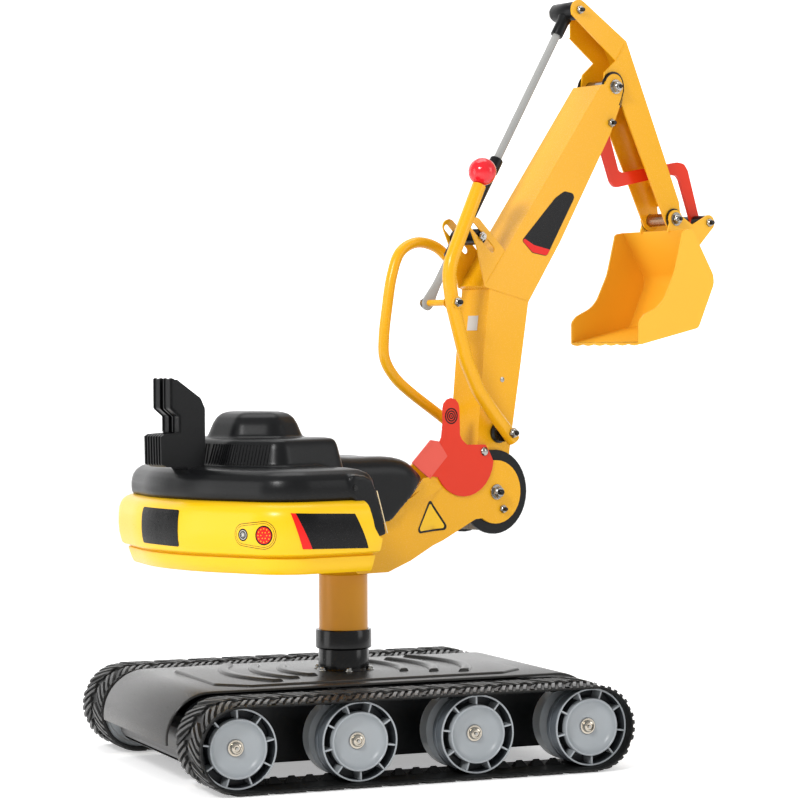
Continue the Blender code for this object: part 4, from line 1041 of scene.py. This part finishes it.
hp = [(206, 25.3, 359), (206, 34, 359), (200, 42, 362), (170, 42, 381), (130, 42, 406), (107, 42, 424), (93, 42, 445), (92, 42, 470),
      (97, 42, 505), (104, 42, 540), (116, 42, 567), (140, 42, 579), (168, 42, 575), (190, 42, 560), (210, 40, 542), (214, 34, 538),
      (214, 25.3, 538)]
g = Mesh()
g.tube(smooth_path(hp, 7), 6.3, 24)
for c in ((206, 359), (214, 538)):
    g.spin((c[0], 0, c[1]), [(6.3, 25.3), (8.2, 25.3), (7.6, 26.4), (6.3, 27.6)], 24, "Y", 0, 1)
piece("hand_loop", g.make("hand_loop"), "boom", YELLOW, ("loop_handle",), 50)

# ================================================================== lever
lp = bend([(162.6, LEVER_Y, 641.4), (116, LEVER_Y, 545), (122.5, LEVER_Y, 506), (142, LEVER_Y, 443), (160, LEVER_Y, 408),
           (184, LEVER_Y, 380), (212, LEVER_Y, 350.5)], 60, 9)
g = Mesh()
g.tube(lp, 8.0, 28)
g.spin((P[0], 0, P[1]), [(4.4, 52.6), (7.4, 52.6), (7.0, 54.0), (4.4, 54.2)], 24, "Y", 0, -1)
g.spin((P[0], 0, P[1]), [(4.4, 37.4), (7.2, 37.4), (6.8, 36.4), (4.4, 36.2)], 24, "Y", 0, -1)
piece("lever_tube", g.make("lever_tube"), "lever", YELLOW, ("lever",), 50)
g = Mesh()
prof_k = [(16.0 * math.sin(math.radians(t)), 16.0 * math.cos(math.radians(t))) for t in range(0, 181, 6)]
g.spin((167.5, LEVER_Y, 657), prof_k, 48, "Z")
piece("knob", g.make("knob", weld=True), "lever", RED_BALL, ("lever_knob",), 60)
g = Mesh()
g.spin((L0[0], 0, L0[1]), [(4.5, 25.5), (11.0, 25.5), (12, 26.6), (12, 29), (9.8, 31), (9.6, 33.5), (10.4, 36.0), (4.5, 36.2)], 36, "Y", 0, -1)
piece("spacer_lever", g.make("spacer_lever"), "lever", CAP, ("lever_spacer",), 30)
g = Mesh()
g.spin((L0[0], 0, L0[1]), [(0, 17.8), (3.9, 17.8), (3.9, 53.2), (0, 53.2)], 18, "Y", 0, -1)
fastener(g, L0, 52.6, -1, washer=0, flats=10.4, nut=5.0, shank=4, cap=2.9)
g.hexnut(L0, 10.4, -22.4, -18.0, 0, -1)
piece("lever_hardware", g.make("lever_hw", weld=False), "lever", [ZINC, CAP], ("lever_bolt",), 30)
g = Mesh()
g.spin((P[0], 0, P[1]), [(0, -6), (3.7, -6), (3.7, 54.0), (0, 54.0)], 24, "Y", 0, -1)
pin_piece = piece("cross_pin", g.make("cross_pin", weld=False), "lever", [YELLOW], ("rod_pin",), 30)
g = Mesh()
fastener(g, P, 53.4, -1, washer=0, flats=9.6, nut=4.4, shank=3, cap=2.8)
fastener(g, P, 5.5, 1, washer=6.0, flats=9.6, nut=4.0, shank=3, cap=0, wt=0.8)
piece("cross_pin_nuts", g.make("cross_pin_nuts", weld=False), "lever", [ZINC, CAP], (), 30)

# ================================================================== push rod
D = (Vector(S) - Vector(P)).normalized()
N = Vector((D[1], -D[0]))
ROD_L = (Vector(S) - Vector(P)).length


def along(t, n=0.0, y=0.0):
    v = Vector(P) + D * t + N * n
    return Vector((v[0], y, v[1]))


g = Mesh()
rows = []
for t, ry, rn in ((-8.3, 2.2, 1.0), (-7.4, 2.6, 4.6), (-4, 2.8, 7.4), (0, 2.9, 8.4), (6, 2.9, 7.8), (14, 3.2, 6.6), (24, 4.2, 5.2), (32, 4.75, 4.75),
                  (ROD_L - 24.5, 4.75, 4.75)):
    rows.append([along(t, rn * math.cos(2 * math.pi * k / 28), ry * math.sin(2 * math.pi * k / 28)) for k in range(28)])
g.grid(rows, wrap_v=True)
g.face(rows[0])
g.face(list(reversed(rows[-1])))
piece("rod_skin", g.make("rod_skin"), "push_rod", ROD_GREY, ("rod",), 40)
g = Mesh()
g.spin((S[0], 0, S[1]), [(7.2, -18.2), (10.2, -18.2), (10.9, -17.2), (10.9, 20.4), (10.2, 21.5), (7.2, 21.5)], 44, "Y")
g.spin((S[0], 0, S[1]), [(7.2, 21.5), (7.2, -18.2)], 44, "Y")
rows = [[along(t, r * math.cos(2 * math.pi * k / 28), r * math.sin(2 * math.pi * k / 28)) for k in range(28)]
        for t, r in ((ROD_L - 35, 5.0), (ROD_L - 35, 6.9), (ROD_L - 34, 7.4), (ROD_L - 16, 7.4), (ROD_L - 9.6, 8.6))]
g.grid(rows, wrap_v=True)
piece("t_bush_skin", g.make("t_bush_skin", weld=False), "push_rod", BLACK, ("t_bush",), 40)
g = Mesh()
g.spin((S[0], 0, S[1]), [(0, -20.8), (2.9, -20.8), (2.9, 22.0), (0, 22.0)], 18, "Y")
fastener(g, S, 20.8, -1, washer=0, flats=9.0, nut=4.2, shank=3, cap=2.6)
g.spin((S[0], 0, S[1]), [(0, 22.0), (9.0, 22.0), (9.2, 23.0), (7.8, 25.8), (4.0, 27.0), (0, 27.2)], 32, "Y")
piece("stick_top_hardware", g.make("stick_top_hw", weld=False), "stick", [ZINC, CAP], ("stick_top_bolt",), 30)

g = Mesh()
rows = [[along(t, r * math.cos(2 * math.pi * k / 32), r * math.sin(2 * math.pi * k / 32)) for k in range(32)]
        for t, r in ((62, 5.1), (62, 7.1), (63, 7.7), (80, 7.7), (81, 7.1), (180, 7.1), (181, 7.9), (197, 7.9), (198, 7.3), (198, 5.1))]
g.grid(rows, wrap_v=True)
g.spin((T[0], 0, T[1]), [(3.3, -22.5), (8.6, -22.5), (9.2, -21.8), (9.2, 21.8), (8.6, 22.5), (3.3, 22.5)], 36, "Y")
piece("guide_skin", g.make("guide_skin", weld=False), "rod_guide", BLACK, ("rod_guide",), 30)

# ================================================================== stick, link, bucket
polish("stick", 1.0, YELLOW, segs=3)
g = Mesh()
for s in (-1, 1):
    g.tube([(410.4, s * 20.7, 820.4), (403, s * 20.7, 809), (397.2, s * 20.7, 800.8)], 0.6, 8)
g.tube([(413.4, -19.6, 823.6), (413.4, 19.6, 823.6)], 0.7, 8)
piece("stick_welds", g.make("stick_welds"), "stick", YELLOW, (), 60)
paint("elbow_bush", ZINC)
paint("pivot_bush", ZINC)
paint("bucket_bush", COPPER)
ZL = [(376.5, 714), (388, 700), (405.5, 655.5), (413, 649.5), (505, 668.5), (515.5, 668), (520, 663), (539.5, 613)]
ZR = [2, 6, 14, 10, 16, 8, 6, 1]
ZL += arc(B, 8.0, 190, 380, 9) + [(534, 675), (527.5, 683), (516, 684.5), (424, 668), (418, 670), (398.5, 726)]
ZR += [0] * 10 + [10, 9, 16, 10, 8, 3]
g = Mesh()
g.prism(fillet(ZL, ZR, 6), -2.2, 2.2)
g.spin((K[0], 0, K[1]), [(9.2, -2.2), (12.6, -2.2), (12.6, 2.2), (9.2, 2.2), (9.2, -2.2)], 36, "Y")
piece("link_skin", g.make("link_skin", weld=False), "bucket_link", RED, ("z_link",), 30, bevel=0.6)

W, WALL = 61.0, 2.6
BK = fillet([(468.5, 597.0), (484, 599.5), (519, 545), (520.5, 534), (494, 480), (396, 459.5), (396, 488), (404, 495.5), (434, 508.5),
             (455, 547), (467, 590)], [6, 4, 16, 16, 9, 3, 9, 9, 40, 60, 30], 8)
BK_IN = fillet([(430, 640), (478.2, 601.5), (516, 544.4), (517.2, 534.8), (491.9, 482.7), (395.0, 462.6), (370, 462), (370, 560)],
               [0, 0, 15, 15, 8, 0, 0, 0], 8)
g = Mesh()
g.prism(BK, -W, W)
skin = piece("bucket_skin", g.make("bucket_skin"), "bucket", BUCKET_YELLOW, ("bucket",), 34)
c = Mesh()
c.prism(BK_IN, -W + WALL, W - WALL)
boolean_now(skin, c.make("inside"))
bm = bmesh.new()
bm.from_mesh(skin.data)
bmesh.ops.dissolve_limit(bm, angle_limit=math.radians(0.8), verts=bm.verts, edges=bm.edges)
bm.to_mesh(skin.data)
bm.free()
b = skin.modifiers.new("edge", "BEVEL")
b.width, b.segments, b.limit_method, b.angle_limit = 0.0009, 3, "ANGLE", math.radians(40)
skin.modifiers.new("normals", "WEIGHTED_NORMAL").keep_sharp = True
g = Mesh()
LUG = fillet([(477.5, 597)] + arc(Q, 11.0, 205, 20, 12) + [(519, 606.5)] + arc(B, 9.5, 130, -55, 12) + [(528, 579), (511.1, 555.1), (484.6, 596.3)],
             [0] * 14 + [6] + [0] * 13 + [4, 0, 0], 5)
for s in (-1, 1):
    g.prism(LUG, s * 23.0, s * 25.4)
# a row of shallow scallops under the cutting edge
for k in range(6):
    y = -50.5 + k * 20.2
    g.tube([(397.2, y + v, 461.2 - h) for v, h in ((-9.6, 0), (-6, 0.7), (0, 1.1), (6, 0.7), (9.6, 0))], [0.5, 1.0, 1.3, 1.0, 0.5], 10)
piece("bucket_lugs", g.make("bucket_lugs", weld=False), "bucket", BUCKET_YELLOW, (), 34, bevel=0.4)
for side in ("right", "left"):
    polish("link_bush_" + side, 0.5, CAP)

# ================================================================== studio
floor_me = bpy.data.meshes.new("floor")
floor_me.from_pydata([(-30, -30, 0), (30, -30, 0), (30, 30, 0), (-30, 30, 0)], [], [(0, 1, 2, 3)])
floor_obj = bpy.data.objects.new("floor", floor_me)
bpy.context.scene.collection.objects.link(floor_obj)
fm = bpy.data.materials.new("floor")
fm.use_nodes = True
fm.node_tree.nodes["Principled BSDF"].inputs["Base Color"].default_value = (0.92, 0.92, 0.92, 1)
fm.node_tree.nodes["Principled BSDF"].inputs["Roughness"].default_value = 0.9
fm.node_tree.nodes["Principled BSDF"].inputs["Emission Color"].default_value = (1, 1, 1, 1)
fm.node_tree.nodes["Principled BSDF"].inputs["Emission Strength"].default_value = 0.38
floor_me.materials.append(fm)

bpy.context.scene.view_settings.view_transform = "Standard"
world = bpy.data.worlds.new("studio")
bpy.context.scene.world = world
world.use_nodes = True
world.node_tree.nodes["Background"].inputs[0].default_value = (1, 1, 1, 1)
world.node_tree.nodes["Background"].inputs[1].default_value = 0.55

# a pale lit wall far behind
wm = bpy.data.materials.new("backdrop")
wm.use_nodes = True
wb = wm.node_tree.nodes["Principled BSDF"]
wb.inputs["Base Color"].default_value = (0.9, 0.9, 0.9, 1)
wb.inputs["Emission Color"].default_value = (1, 1, 1, 1)
wb.inputs["Emission Strength"].default_value = 0.75
wall_me = bpy.data.meshes.new("backdrop")
wall_me.from_pydata([(-16, 14.5, -0.01), (24, 11.0, -0.01), (24, 11.0, 16), (-16, 14.5, 16)], [], [(0, 1, 2, 3)])
wall_me.materials.append(wm)
wall = bpy.data.objects.new("backdrop", wall_me)
bpy.context.scene.collection.objects.link(wall)


def light(name, loc, target, size, power):
    L = bpy.data.lights.new(name, "AREA")
    L.shape = "RECTANGLE"
    L.size, L.size_y = size
    L.energy = power
    o = bpy.data.objects.new(name, L)
    bpy.context.scene.collection.objects.link(o)
    o.location = loc
    o.rotation_euler = (Vector(target) - Vector(loc)).to_track_quat("-Z", "Y").to_euler()


light("key", (-1.9, -1.7, 1.9), (0, 0, 0.45), (0.5, 0.5), 42)
light("fill", (2.0, -1.6, 1.2), (0, 0, 0.45), (1.0, 1.4), 10)
light("top", (0.0, 0.4, 2.6), (0, 0, 0.4), (1.8, 1.2), 20)
light("left", (-2.3, 0.2, 0.7), (0.1, 0.1, 0.5), (1.0, 1.4), 9)

cam = bpy.data.cameras.new("camera")
cam.sensor_width = 36.0
cam.lens = 2704.72 * 36.0 / 800.0
cam.clip_end = 60
co = bpy.data.objects.new("camera", cam)
bpy.context.scene.collection.objects.link(co)
yaw, pitch, roll = math.radians(22.39), math.radians(0.87), math.radians(-0.31)
fwd = Vector((math.sin(yaw) * math.cos(pitch), math.cos(yaw) * math.cos(pitch), -math.sin(pitch)))
right = Vector((math.cos(yaw), -math.sin(yaw), 0))
up = right.cross(fwd)
r2 = right * math.cos(roll) + up * math.sin(roll)
u2 = -right * math.sin(roll) + up * math.cos(roll)
m3 = Matrix((r2, u2, -fwd)).transposed()
co.matrix_world = Matrix.Translation(((-1087.93 + COLUMN_X) * MM, -2809.92 * MM, 444.5 * MM)) @ m3.to_4x4()
bpy.context.scene.camera = co
